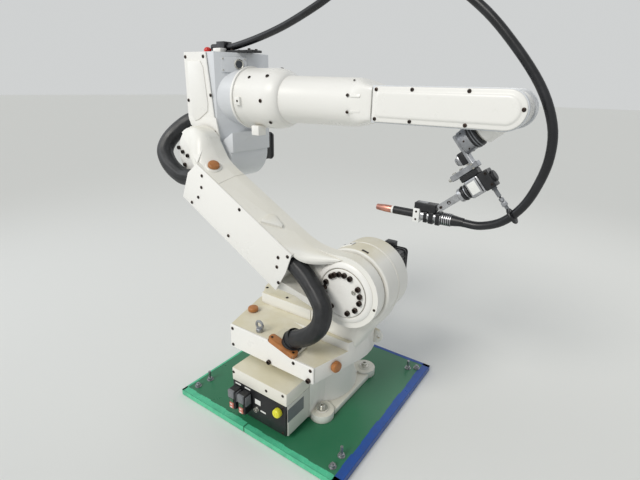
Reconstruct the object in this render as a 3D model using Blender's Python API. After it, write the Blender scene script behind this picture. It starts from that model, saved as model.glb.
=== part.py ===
"""Long-reach six-axis welding robot on its floor plate, in metres, +Z up.

The arm stands on the origin, which is the underside of the plate below the
turning axis of the base. +X is the way the forearm points at rest, and the
side with the cable panel faces -Y.
"""
import math

import bmesh
import bpy
from mathutils import Euler, Matrix, Vector

# Running gaps, cutting overrun and edge rounding
SEAT_GAP = 0.0003
RUN_GAP = 0.006
CUT_OVERRUN = 0.01
EDGE_SOFT = 0.004
EDGE_FINE = 0.002

# Round pieces: number of flat facets in a full turn
TURN_BIG = 48
TURN_SMALL = 24

# Floor plate
PLATE_SIDE = 0.74
PLATE_THICK = 0.025

# Base casting
BOLT_HALF_SPACING = 0.158
LOBE_RADIUS = 0.045
LOBE_BOSS_RADIUS = 0.024
LOBE_BOSS_RISE = 0.005
FLANGE_THICK = 0.030
FLANGE_HALF = 0.150
BASE_RADIUS = 0.172
BASE_FOOT_RADIUS = 0.184
BASE_TOP = 0.236
BEARING_RADIUS = 0.150

# Cable box at the foot
BOX_LEFT = -0.115
BOX_RIGHT = 0.135
BOX_FRONT = -0.335
BOX_BACK = -0.205
BOX_BOTTOM = 0.043
BOX_TOP = 0.170
LID_TOP = 0.222
PANEL_THICK = 0.008
PANEL_EDGE = 0.004
SOCKET_WIDTH = 0.032
SOCKET_TALL = 0.078
SOCKET_DEEP = 0.034
SOCKET_GAP = 0.014
CAP_RADIUS = 0.015
CAP_DEEP = 0.020
CAP_FROM_RIGHT = 0.032
CAP_DROP = 0.030

# Turning body
SWIVEL_BOTTOM = BASE_TOP + RUN_GAP
SWIVEL_TOP = 0.336
SWIVEL_STEP = 0.032
SWIVEL_FRONT = -0.264
SWIVEL_HALF_FRONT = 0.190
SWIVEL_RADIUS = 0.250
SWIVEL_COVER_THICK = 0.008
STEP_LEFT = -0.010
STEP_RIGHT = 0.105
SLAB_LEFT = -0.215
SLAB_RIGHT = 0.040
SLAB_FRONT = -0.060
SLAB_BACK = 0.180
SLAB_TOP = 0.378
SLAB_SLOPE = 0.075
LUG_REACH = 0.034
LUG_Y = 0.055
LUG_THICK = 0.012
LUG_LOW = 0.262
LUG_HIGH = 0.318
LUG_HOLE = 0.007
LUG_HOLE_FROM_TIP = 0.0155

# Rubber stops, the lifting eye and the cable gland on the turning body
STOP_RADIUS = 0.020
STOP_HEIGHT = 0.018
TOP_STOP_X = -0.190
TOP_STOP_Y = -0.140
SIDE_STOP_Z = 0.274
EYE_X = -0.068
EYE_Y = -0.236
EYE_COLLAR_RADIUS = 0.013
EYE_COLLAR_HEIGHT = 0.014
EYE_RING_RADIUS = 0.0145
EYE_WIRE_RADIUS = 0.0045
GLAND_THICK = 0.011
GLAND_MARGIN = 0.004
GLAND_BACK = -0.178
GLAND_RING_WALL = 0.004
GLAND_RISE = 0.020
GLAND_LEAN = 53.0
GLAND_ALONG = 0.072
GLAND_Y = -0.221

# Second axis: shoulder
J2_X = 0.230
J2_Z = 0.552
HOUSING_RADIUS = 0.132
HOUSING_FRONT = -0.109
HOUSING_BACK = 0.040
SHOULDER_BOSS_RADIUS = 0.095
TOWER_FOOT_LEFT = 0.105
TOWER_FOOT_RIGHT = 0.235
TOWER_MID_Z = 0.380
TOWER_MID_LEFT = 0.118
TOWER_MID_RIGHT = 0.285
TOWER_HIGH_Z = 0.450
TOWER_HIGH_LEFT = 0.118
TOWER_HIGH_RIGHT = 0.332
TOWER_TOP_INSET = 0.003
TOWER_BACK = 0.030
TOWER_SETBACK = 0.016
MOTOR_SIDE = 0.126
MOTOR_LENGTH = 0.150

# Lower arm, in its own frame: across is the width, along runs up to the elbow
ARM_LENGTH = 0.758
ARM_LEAN = 60.5
ARM_BACK = HOUSING_FRONT - RUN_GAP
ARM_PLATE_THICK = 0.045
ARM_DUCT_RISE = 0.075
ARM_HUB_RADIUS = 0.122
ARM_TOP_RADIUS = 0.098
ARM_LOW = -0.134
ARM_HIGH = 0.044
FLANK_SLOPE = 0.020
BLEND_ALONG = 0.230
TOP_BLEND_DROP = 0.158
DISC_RADIUS = 0.082
ELBOW_DISC_RADIUS = 0.058
DISC_THICK = 0.010
DUCT_START = 0.190
DUCT_END_DROP = 0.068
DUCT_LIP = 0.012
ARM_COVER_THICK = 0.005
CONDUIT_RADIUS = 0.031
CONDUIT_ROOM = 0.003
POCKET_DEPTH = 0.050
POCKET_LOW_ACROSS = -0.024
POCKET_HIGH_ACROSS = -0.070
WALL_THICK = 0.034
WALL_END_ALONG = 0.035
RIM_WIDTH = 0.034
RIM_FRONT_RISE = 0.020
ARM_STOP_DROP = 0.124

# Elbow, drawn about the elbow axis
ELBOW_RISE = 0.200
ELBOW_LEFT = -0.100
ELBOW_RIGHT = 0.125
ELBOW_FRONT = ARM_BACK + 0.008
ELBOW_BACK = 0.107
ELBOW_BOTTOM = 0.085
ELBOW_TOP = 0.352
ELBOW_CORNER = 0.043
ELBOW_HUB_RADIUS = 0.112
ELBOW_BOSS_RADIUS = 0.078
BULGE_X = 0.090
BULGE_Z = 0.108
BULGE_RADIUS = 0.104
BULGE_SETBACK = 0.012
CHAMFER_START = 0.050
CHAMFER_BACK = 0.028
CHAMFER_LOW = 0.036
CHAMFER_FULL = 0.088
TIP_SHARE = 0.04
COVER_TOP_WIDTH = 0.118
COVER_LOW_WIDTH = 0.150
COVER_THICK = 0.006
ENTRY_Y = -0.064
ENTRY_Z = 0.113
ENTRY_DEPTH = 0.026
ELBOW_MOTOR_SIDE = 0.110
ELBOW_MOTOR_LENGTH = 0.110
LAMP_X = -0.055
LAMP_Y = -0.030
LAMP_RADIUS = 0.014
LAMP_HEIGHT = 0.022
CLAMP_LEFT = -0.018
CLAMP_RIGHT = 0.165
CLAMP_HALF_WIDTH = 0.026
CLAMP_PLATE = 0.008
CLAMP_BLOCK = 0.040
CLAMP_HEIGHT = 0.040
CLAMP_CABLE_RISE = 0.022

# Forearm, drawn about its own axis with the wrist axis at the origin
FOREARM_LENGTH = 1.040
RIM_RADIUS = 0.108
RIM_THICK = 0.009
ROOT_RADIUS = 0.102
ROOT_LENGTH = 0.126
ROOT_BOSS_RADIUS = 0.085
SHOULDER_LENGTH = 0.066
TUBE_START_RADIUS = 0.0775
TUBE_END_RADIUS = 0.073
FLARE_START = -0.450
CASE_START = -0.372
CASE_SQUARENESS = 6
CASE_HALF_HEIGHT = 0.052
CASE_HALF_WIDTH = 0.070
CASE_COVER_THICK = 0.006
CASE_COVER_INSET = 0.003
CASE_CORNER = 0.012
SLOT_ROOM = 0.030

# Wrist and tool, drawn along the hand axis
WRIST_DROOP = 140.0
WRIST_RADIUS = 0.046
WRIST_HALF_WIDTH = 0.044
WRIST_PIN_RADIUS = 0.026
NOSE_RADIUS = 0.040
WRIST_NOSE = 0.090
NOSE_BOSS_RADIUS = 0.026
TOOL_RING_RADIUS = 0.036
TOOL_RING_START = WRIST_NOSE + RUN_GAP
TOOL_RING_END = 0.118
FLANGE_RADIUS = 0.034
FLANGE_FACE = 0.149
BRACKET_THICK = 0.0105
BRACKET_REACH = 0.030
BRACKET_HALF_WIDTH = 0.016
BAR_LOW = 0.060
BAR_HIGH = 0.077
BAR_REAR = 0.140
BAR_FRONT = 0.226
PLATE_HIGH = 0.094
PLATE_REAR = 0.150
SENSOR_PLATE_HALF = 0.018
PLATE_FRONT = 0.204
HOLDER_HALF = 0.024
HOLDER_REAR = 0.129
HOLDER_SPLIT = 0.157
HOLDER_FRONT = 0.200
HOLDER_HIGH = 0.147
COLLAR_RADIUS = 0.021
COLLAR_LENGTH = 0.034
COLLAR_WAIST = 0.015
NECK_HALF = 0.011
NECK_END = 0.306
NECK_HOLE = 0.005
KNOB_ACROSS = 0.036
KNOB_RADIUS = 0.018
KNOB_BLOCK = 0.016
KNOB_LENGTH = 0.016

# Torch, drawn along its own axis from the point below the neck
TORCH_ALONG = 0.343
TORCH_ACROSS = 0.129
TORCH_BEND = 40.0
NOZZLE_TIP = 0.183
NOZZLE_REAR = 0.130
NOZZLE_TIP_RADIUS = 0.0095
NOZZLE_RADIUS = 0.0118
NOZZLE_BORE = 0.0075
BARREL_RADIUS = 0.0125
GRIP_RADIUS = 0.0155
GRIP_FRONT = 0.031
GRIP_REAR = -0.014
TAIL_RADIUS = 0.0185
TAIL_REAR = -0.064
TAIL_FRONT = -0.032
SADDLE_REAR = 0.032
SADDLE_FRONT = 0.053
SADDLE_HALF = 0.018
SADDLE_LOW = 0.022
CLAMP_TOP = -0.040
CLAMP_FRONT = 0.052
CLAMP_REAR = -0.0155
GUIDE_RING_RADIUS = 0.0205
GUIDE_WIRE_RADIUS = 0.004
GUIDE_ROD_RADIUS = 0.003
GUIDE_ALONG = 0.1427
GUIDE_ACROSS = 0.2396

# Cables that the robot holds at both ends: places their middle line runs through
TORCH_CABLE_RADIUS = 0.012
SHOULDER_RUN = 0.010
RISE_1_X, RISE_1_Y, RISE_1_Z = 0.100, -0.229, 0.367
RISE_2_X, RISE_2_Y, RISE_2_Z = 0.131, -0.237, 0.387
RISE_3_X, RISE_3_Y, RISE_3_Z = 0.165, -0.240, 0.415
RISE_4_X, RISE_4_Y, RISE_4_Z = 0.194, -0.240, 0.455
RISE_5_X, RISE_5_Y, RISE_5_Z = 0.203, -0.238, 0.500
OVER_1_ACROSS, OVER_1_Y, OVER_1_ALONG = -0.036, -0.230, 0.028
OVER_2_ACROSS, OVER_2_Y, OVER_2_ALONG = -0.024, -0.210, 0.106
BEND_1_X, BEND_1_Y, BEND_1_Z = 0.001, -0.195, -0.085
BEND_2_X, BEND_2_Y, BEND_2_Z = -0.048, -0.198, -0.084
BEND_3_X, BEND_3_Y, BEND_3_Z = -0.120, -0.192, -0.053
BEND_4_X, BEND_4_Y, BEND_4_Z = -0.174, -0.172, -0.011
BEND_5_X, BEND_5_Y, BEND_5_Z = -0.181, -0.148, 0.028
BEND_6_X, BEND_6_Y, BEND_6_Z = -0.164, -0.114, 0.068
BEND_7_X, BEND_7_Y, BEND_7_Z = -0.134, -0.078, 0.102
LOOP_1_X, LOOP_1_Z = 0.535, 0.8045
LOOP_2_X, LOOP_2_Z = 0.578, 0.8060
LOOP_3_X, LOOP_3_Z = 0.632, 0.829
LOOP_4_X, LOOP_4_Z = 0.676, 0.878
LOOP_5_X, LOOP_5_Z = 0.703, 0.942
LOOP_6_X, LOOP_6_Z = 0.717, 1.016
LOOP_7_X, LOOP_7_Z = 0.708, 1.095
LOOP_8_X, LOOP_8_Z = 0.664, 1.186
LOOP_9_X, LOOP_9_Z = 0.580, 1.289
LOOP_10_X, LOOP_10_Z = 0.493, 1.372
LOOP_11_X, LOOP_11_Z = 0.375, 1.452
LOOP_12_X, LOOP_12_Z = 0.250, 1.492
LOOP_13_X, LOOP_13_Z = 0.120, 1.468
LOOP_14_X, LOOP_14_Z = 0.003, 1.412
LOOP_15_X, LOOP_15_Z = -0.130, 1.360
LOOP_16_X, LOOP_16_Z = -0.250, 1.326

# Colours
WHITE = (0.80, 0.79, 0.74)
COOL_WHITE = (0.66, 0.69, 0.72)
STEEL = (0.45, 0.46, 0.48)
BLACK = (0.02, 0.02, 0.022)
ORANGE = (0.62, 0.20, 0.05)


def clear_scene():
    for item in list(bpy.data.objects):
        bpy.data.objects.remove(item, do_unlink=True)


def material(name, colour, roughness=0.5, metallic=0.0):
    mat = bpy.data.materials.get(name) or bpy.data.materials.new(name)
    mat.use_nodes = True
    shader = mat.node_tree.nodes["Principled BSDF"]
    shader.inputs["Base Color"].default_value = (*colour, 1.0)
    shader.inputs["Roughness"].default_value = roughness
    shader.inputs["Metallic"].default_value = metallic
    return mat


def cream_paint():
    return material("cream_paint", WHITE, 0.35)


def bright_steel():
    return material("bright_steel", STEEL, 0.3, 1.0)


def tool_black():
    return material("tool_black", BLACK, 0.45)


def orange_rubber():
    return material("orange_rubber", ORANGE, 0.55)


def cable_black():
    return material("cable_black", BLACK, 0.55)


def link(name, mesh, mat, parent=None):
    obj = bpy.data.objects.new(name, mesh)
    bpy.context.scene.collection.objects.link(obj)
    mesh.materials.append(mat)
    if parent is not None:
        obj.parent = parent
    return obj


def mesh_from(bm, name):
    bmesh.ops.remove_doubles(bm, verts=bm.verts, dist=0.00001)
    bmesh.ops.recalc_face_normals(bm, faces=bm.faces)
    mesh = bpy.data.meshes.new(name)
    bm.to_mesh(mesh)
    bm.free()
    return mesh


def box_mesh(name, low, high):
    bm = bmesh.new()
    bmesh.ops.create_cube(bm, size=1.0)
    low, high = Vector(low), Vector(high)
    for vert in bm.verts:
        vert.co = Vector(a + (b - a) * (c + 0.5) for a, b, c in zip(low, high, vert.co))
    return mesh_from(bm, name)


def extrude_outline(name, corners, vector, place=None):
    """Extrude a closed outline of 3-D corners along a vector."""
    bm = bmesh.new()
    face = bm.faces.new([bm.verts.new(corner) for corner in corners])
    grown = bmesh.ops.extrude_face_region(bm, geom=[face])
    moved = [v for v in grown["geom"] if isinstance(v, bmesh.types.BMVert)]
    bmesh.ops.translate(bm, verts=moved, vec=vector)
    if place is not None:
        bm.transform(place)
    return mesh_from(bm, name)


def prism_mesh(name, outline, start, end, place=None):
    """Extrude an outline given in the XZ plane from y=start to y=end."""
    return extrude_outline(name, [(x, start, z) for x, z in outline], (0, end - start, 0), place)


def section_mesh(name, outline, start, end, place=None):
    """Extrude an outline given in the XY plane from z=start to z=end."""
    return extrude_outline(name, [(x, y, start) for x, y in outline], (0, 0, end - start), place)


def ramp_mesh(name, outline, back, front_at):
    """A prism on an XZ outline whose front face follows front_at(x, z)."""
    bm = bmesh.new()
    rear = [bm.verts.new((x, back, z)) for x, z in outline]
    front = [bm.verts.new((x, front_at(x, z), z)) for x, z in outline]
    count = len(outline)
    for index in range(count):
        after = (index + 1) % count
        bm.faces.new((rear[index], rear[after], front[after], front[index]))
    caps = [bm.faces.new(rear), bm.faces.new(front)]
    bmesh.ops.triangulate(bm, faces=caps)
    return mesh_from(bm, name)


def loft_mesh(name, rings, hollow=False):
    """Skin a row of rings with equal counts; a hollow one joins the last ring to the first."""
    bm = bmesh.new()
    rows = [[bm.verts.new(point) for point in ring] for ring in rings]
    count = len(rows[0])
    pairs = list(zip(rows, rows[1:]))
    if hollow:
        pairs.append((rows[-1], rows[0]))
    for low, high in pairs:
        for index in range(count):
            after = (index + 1) % count
            bm.faces.new((low[index], low[after], high[after], high[index]))
    if not hollow:
        bm.faces.new(rows[0])
        bm.faces.new(rows[-1])
    return mesh_from(bm, name)


def rounded_ring(half_a, half_b, power, count):
    """Superellipse points: power 2 is an ellipse, higher is a rounded box."""
    points = []
    for step in range(count):
        angle = math.tau * step / count
        cos, sin = math.cos(angle), math.sin(angle)
        points.append((half_a * math.copysign(abs(cos) ** (2 / power), cos),
                       half_b * math.copysign(abs(sin) ** (2 / power), sin)))
    return points


def turned_mesh(name, profile, facets=TURN_BIG, place=None):
    """Spin a (radius, height) profile about Z; a closed one makes a ring."""
    bm = bmesh.new()
    verts = [bm.verts.new((radius, 0, height)) for radius, height in profile]
    edges = [bm.edges.new(pair) for pair in zip(verts, verts[1:])]
    if profile[0][0] > 0:
        edges.append(bm.edges.new((verts[-1], verts[0])))
    bmesh.ops.spin(bm, geom=verts + edges, cent=(0, 0, 0), axis=(0, 0, 1), dvec=(0, 0, 0),
                   angle=math.tau, steps=facets, use_merge=True, use_duplicate=False)
    if place is not None:
        bm.transform(place)
    return mesh_from(bm, name)


def disc_profile(radius, low, high, chamfer=0.0):
    if not chamfer:
        return [(0, low), (radius, low), (radius, high), (0, high)]
    return [(0, low), (radius - chamfer, low), (radius, low + chamfer),
            (radius, high - chamfer), (radius - chamfer, high), (0, high)]


def wire_ring(name, radius, wire, place):
    profile = [(radius + x, z) for x, z in arc(0, 0, wire, 0, 315, 7)]
    return turned_mesh(name, profile, TURN_SMALL, place)


def arc(centre_x, centre_z, radius, first, last, steps):
    """Points of an arc, angles in degrees from the first axis to the second."""
    points = []
    for step in range(steps + 1):
        angle = math.radians(first + (last - first) * step / steps)
        points.append((centre_x + radius * math.cos(angle), centre_z + radius * math.sin(angle)))
    return points


def blend_curve(start, corner, end, steps):
    """Quadratic curve that leaves and arrives along the lines to the corner."""
    points = []
    for step in range(1, steps):
        t = step / steps
        points.append(tuple(a * (1 - t) ** 2 + b * 2 * t * (1 - t) + c * t * t
                            for a, b, c in zip(start, corner, end)))
    return points


# Turns Z into -Y, so that a turned shape points at the camera side
TO_FRONT = Matrix.Rotation(math.radians(90), 4, "X")
# Turns Z into +X
TO_RIGHT = Matrix.Rotation(math.radians(90), 4, "Y")


def spot(x, y, z, turn=None):
    place = Matrix.Translation((x, y, z))
    return place @ turn if turn is not None else place


def point_to(direction, x, y, z):
    """Place that turns Z into the direction and moves it to the point."""
    return Matrix.Translation((x, y, z)) @ Vector(direction).to_track_quat("Z", "Y").to_matrix().to_4x4()


def soften(obj, width=EDGE_SOFT, segments=2, angle=40):
    bevel = obj.modifiers.new("soft_edges", "BEVEL")
    bevel.width = width
    bevel.segments = segments
    bevel.limit_method = "ANGLE"
    bevel.angle_limit = math.radians(angle)
    bevel.use_clamp_overlap = True
    return bevel


def combine(obj, mesh, operation):
    """Keep a second mesh as a hidden tool and join it to, or cut it from, obj."""
    tool = bpy.data.objects.new(f"{obj.name}_{operation.lower()}_{len(obj.modifiers)}", mesh)
    bpy.context.scene.collection.objects.link(tool)
    tool.parent = obj
    tool.hide_render = True
    tool.display_type = "WIRE"
    step = obj.modifiers.new(operation.lower(), "BOOLEAN")
    step.operation = operation
    step.solver = "EXACT"
    step.object = tool
    return tool


def shade_round(mesh):
    for polygon in mesh.polygons:
        polygon.use_smooth = True
    return mesh


def empty(name, place, parent=None, turn=(0, 0, 0)):
    point = bpy.data.objects.new(name, None)
    bpy.context.scene.collection.objects.link(point)
    point.parent = parent
    point.location = place
    point.rotation_euler = Euler([math.radians(a) for a in turn])
    return point


def tube(name, points, radius, mat, parent=None):
    curve = bpy.data.curves.new(name, "CURVE")
    curve.dimensions = "3D"
    curve.bevel_depth = radius
    curve.bevel_resolution = 3
    curve.use_fill_caps = True
    spline = curve.splines.new("POLY")
    spline.points.add(len(points) - 1)
    for point, place in zip(spline.points, points):
        point.co = (*place, 1.0)
    curve.materials.append(mat)
    obj = bpy.data.objects.new(name, curve)
    bpy.context.scene.collection.objects.link(obj)
    obj.parent = parent
    return obj


def smooth_route(knots, per_span):
    """Catmull-Rom points through the knots."""
    knots = [Vector(knot) for knot in knots]
    ends = [knots[0] * 2 - knots[1]] + knots + [knots[-1] * 2 - knots[-2]]
    points = []
    for a, b, c, d in zip(ends, ends[1:], ends[2:], ends[3:]):
        for step in range(per_span):
            t = step / per_span
            points.append(0.5 * ((2 * b) + (c - a) * t + (2 * a - 5 * b + 4 * c - d) * t * t
                                 + (3 * b - a - 3 * c + d) * t * t * t))
    points.append(knots[-1])
    return points


def build_base(root):
    green = material("green_floor_paint", (0.05, 0.22, 0.13), 0.45)
    half = PLATE_SIDE / 2
    mesh = box_mesh("base_plate", (-half, -half, 0), (half, half, PLATE_THICK))
    plate = link("base_plate", mesh, green, root)
    soften(plate, EDGE_FINE, 1)

    foot = PLATE_THICK + SEAT_GAP
    flange_top = foot + FLANGE_THICK
    # The bearing land stands up to the turning body
    body = [(0, foot), (BASE_FOOT_RADIUS, foot), (BASE_FOOT_RADIUS, flange_top),
            (BASE_RADIUS, flange_top + FLANGE_THICK), (BASE_RADIUS, BASE_TOP - EDGE_SOFT),
            (BASE_RADIUS - EDGE_SOFT, BASE_TOP), (BEARING_RADIUS, BASE_TOP),
            (BEARING_RADIUS, SWIVEL_BOTTOM - SEAT_GAP), (0, SWIVEL_BOTTOM - SEAT_GAP)]
    casting = link("base_casting", shade_round(turned_mesh("base_casting", body)), cream_paint(), root)
    flange = box_mesh("flange", (-FLANGE_HALF, -FLANGE_HALF, foot), (FLANGE_HALF, FLANGE_HALF, flange_top))
    combine(casting, flange, "UNION")
    for side_x in (-1, 1):
        for side_y in (-1, 1):
            profile = [(0, foot), (LOBE_RADIUS, foot), (LOBE_RADIUS, flange_top),
                       (LOBE_BOSS_RADIUS, flange_top), (LOBE_BOSS_RADIUS, flange_top + LOBE_BOSS_RISE),
                       (0, flange_top + LOBE_BOSS_RISE)]
            place = spot(side_x * BOLT_HALF_SPACING, side_y * BOLT_HALF_SPACING, 0)
            combine(casting, turned_mesh("lobe", profile, TURN_SMALL, place), "UNION")
    neck = box_mesh("box_neck", (BOX_LEFT, BOX_BACK, BOX_BOTTOM), (BOX_RIGHT, 0, LID_TOP))
    combine(casting, neck, "UNION")
    build_cable_box(root)


def build_cable_box(root):
    grey = material("box_paint", (0.62, 0.62, 0.58), 0.4)
    front = BOX_FRONT + PANEL_THICK + SEAT_GAP
    back = BOX_BACK - SEAT_GAP
    box = link("connector_box", box_mesh("connector_box", (BOX_LEFT, front, BOX_BOTTOM),
                                         (BOX_RIGHT, back, BOX_TOP)), grey, root)
    soften(box, EDGE_FINE, 1)
    lid = link("connector_lid", box_mesh("connector_lid", (BOX_LEFT, BOX_FRONT, BOX_TOP + SEAT_GAP),
                                         (BOX_RIGHT, back, LID_TOP)), cream_paint(), root)
    soften(lid, EDGE_SOFT, 2)
    panel = box_mesh("connector_panel", (BOX_LEFT + PANEL_EDGE, BOX_FRONT, BOX_BOTTOM + PANEL_EDGE),
                     (BOX_RIGHT - PANEL_EDGE, BOX_FRONT + PANEL_THICK, BOX_TOP))
    link("connector_panel", panel, material("panel_black", BLACK, 0.4), root)

    dark = material("connector_grey", (0.10, 0.10, 0.11), 0.5)
    left = BOX_LEFT + PANEL_EDGE * 3
    for name in ("power_connector", "signal_connector"):
        low = (left, BOX_FRONT - SOCKET_DEEP, BOX_TOP - SOCKET_GAP - SOCKET_TALL)
        high = (left + SOCKET_WIDTH, BOX_FRONT - SEAT_GAP, BOX_TOP - SOCKET_GAP)
        plug = link(name, box_mesh(name, low, high), dark, root)
        soften(plug, EDGE_FINE, 1)
        left += SOCKET_WIDTH + SOCKET_GAP
    place = spot(BOX_RIGHT - CAP_FROM_RIGHT, BOX_FRONT - SEAT_GAP, BOX_TOP - CAP_DROP, TO_FRONT)
    profile = disc_profile(CAP_RADIUS, 0, CAP_DEEP, CAP_DEEP / 8)
    cap = turned_mesh("gas_port_cap", profile, TURN_SMALL, place)
    link("gas_port_cap", shade_round(cap), material("yellow_plastic", (0.80, 0.72, 0.05), 0.4), root)


def build_swivel(j1):
    """Turning body with its front cover, drawn in world places."""
    paint = cream_paint()
    front = SWIVEL_FRONT + SWIVEL_COVER_THICK + SEAT_GAP
    low_top = SWIVEL_TOP - SWIVEL_STEP
    # Plan of the body: straight at the front, round behind
    plan = [(-SWIVEL_HALF_FRONT, front), (SWIVEL_HALF_FRONT, front)]
    plan += arc(0, 0, SWIVEL_RADIUS, -20, 200, TURN_BIG // 2)
    body = link("swivel_body", section_mesh("swivel_body", plan, SWIVEL_BOTTOM, SWIVEL_TOP), paint, j1)
    # The right half of the front is lower, behind a sloping step
    far_right = SWIVEL_RADIUS + CUT_OVERRUN
    over_top = SWIVEL_TOP + CUT_OVERRUN
    step = [(STEP_LEFT, SWIVEL_TOP), (STEP_RIGHT, low_top), (far_right, low_top),
            (far_right, over_top), (STEP_LEFT, over_top)]
    cut = prism_mesh("step_cut", step, SWIVEL_FRONT - CUT_OVERRUN, HOUSING_FRONT)
    combine(body, cut, "DIFFERENCE")
    combine(body, tower_mesh(low_top - CUT_OVERRUN), "UNION")
    place = spot(J2_X, HOUSING_BACK, J2_Z, TO_FRONT)
    reach = HOUSING_BACK - HOUSING_FRONT
    boss_reach = HOUSING_BACK - ARM_BACK - SEAT_GAP
    housing = [(0, 0), (HOUSING_RADIUS - EDGE_SOFT, 0), (HOUSING_RADIUS, EDGE_SOFT),
               (HOUSING_RADIUS, reach - EDGE_SOFT), (HOUSING_RADIUS - EDGE_SOFT, reach),
               (SHOULDER_BOSS_RADIUS, reach), (SHOULDER_BOSS_RADIUS, boss_reach), (0, boss_reach)]
    combine(body, turned_mesh("housing", housing, TURN_BIG, place), "UNION")
    sunk = SWIVEL_TOP - CUT_OVERRUN
    slab = prism_mesh("slab", [(SLAB_LEFT, sunk), (SLAB_RIGHT + SLAB_SLOPE, sunk), (SLAB_RIGHT, SLAB_TOP),
                               (SLAB_LEFT, SLAB_TOP)], SLAB_FRONT, SLAB_BACK)
    combine(body, slab, "UNION")
    build_lug(body)

    cover_outline = [(-SWIVEL_HALF_FRONT, SWIVEL_BOTTOM), (SWIVEL_HALF_FRONT, SWIVEL_BOTTOM),
                     (SWIVEL_HALF_FRONT, low_top), (STEP_RIGHT, low_top), (STEP_LEFT, SWIVEL_TOP),
                     (-SWIVEL_HALF_FRONT, SWIVEL_TOP)]
    cover = link("swivel_cover", prism_mesh("swivel_cover", cover_outline, SWIVEL_FRONT,
                                            SWIVEL_FRONT + SWIVEL_COVER_THICK), paint, j1)
    soften(cover, EDGE_FINE, 1)

    back = HOUSING_BACK + SEAT_GAP
    half = MOTOR_SIDE / 2
    motor = link("shoulder_motor", box_mesh("shoulder_motor", (J2_X - half, back, J2_Z - half),
                                            (J2_X + half, back + MOTOR_LENGTH, J2_Z + half)),
                 material("motor_black", BLACK, 0.45), j1)
    soften(motor, EDGE_SOFT * 3, 2)
    build_swivel_fittings(j1, front, low_top)


def tower_mesh(foot):
    """Loft from a rounded foot on the turning body up into the shoulder housing."""
    half_top = HOUSING_RADIUS - TOWER_TOP_INSET
    sections = [(TOWER_FOOT_LEFT, TOWER_FOOT_RIGHT, foot), (TOWER_MID_LEFT, TOWER_MID_RIGHT, TOWER_MID_Z),
                (TOWER_HIGH_LEFT, TOWER_HIGH_RIGHT, TOWER_HIGH_Z), (J2_X - half_top, J2_X + half_top, J2_Z)]
    rings = []
    for left, right, height in smooth_route(sections, 4):
        share = (height - foot) / (J2_Z - foot)
        near = HOUSING_FRONT + EDGE_SOFT + TOWER_SETBACK * (1 - share)
        middle = ((left + right) / 2, (near + TOWER_BACK) / 2)
        outline = rounded_ring((right - left) / 2, (TOWER_BACK - near) / 2, 5, TURN_BIG)
        rings.append([(middle[0] + x, middle[1] + y, height) for x, y in outline])
    return loft_mesh("tower", rings)


def build_lug(body):
    """Lifting lug with its hole on the right rear of the turning body."""
    root_x = math.sqrt(SWIVEL_RADIUS ** 2 - (LUG_Y + LUG_THICK) ** 2)
    tip = root_x + LUG_REACH
    radius = (LUG_HIGH - LUG_LOW) / 2
    middle = (LUG_HIGH + LUG_LOW) / 2
    outline = [(root_x - CUT_OVERRUN, LUG_LOW)]
    outline += arc(tip - radius, middle, radius, -90, 90, 8)
    outline += [(root_x - CUT_OVERRUN, LUG_HIGH)]
    combine(body, prism_mesh("lug", outline, LUG_Y, LUG_Y + LUG_THICK), "UNION")
    place = spot(tip - LUG_HOLE_FROM_TIP, LUG_Y + LUG_THICK + CUT_OVERRUN, middle, TO_FRONT)
    drill = disc_profile(LUG_HOLE, 0, LUG_THICK + CUT_OVERRUN * 2)
    hole = turned_mesh("lug_hole", drill, TURN_SMALL, place)
    combine(body, hole, "DIFFERENCE")


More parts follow.
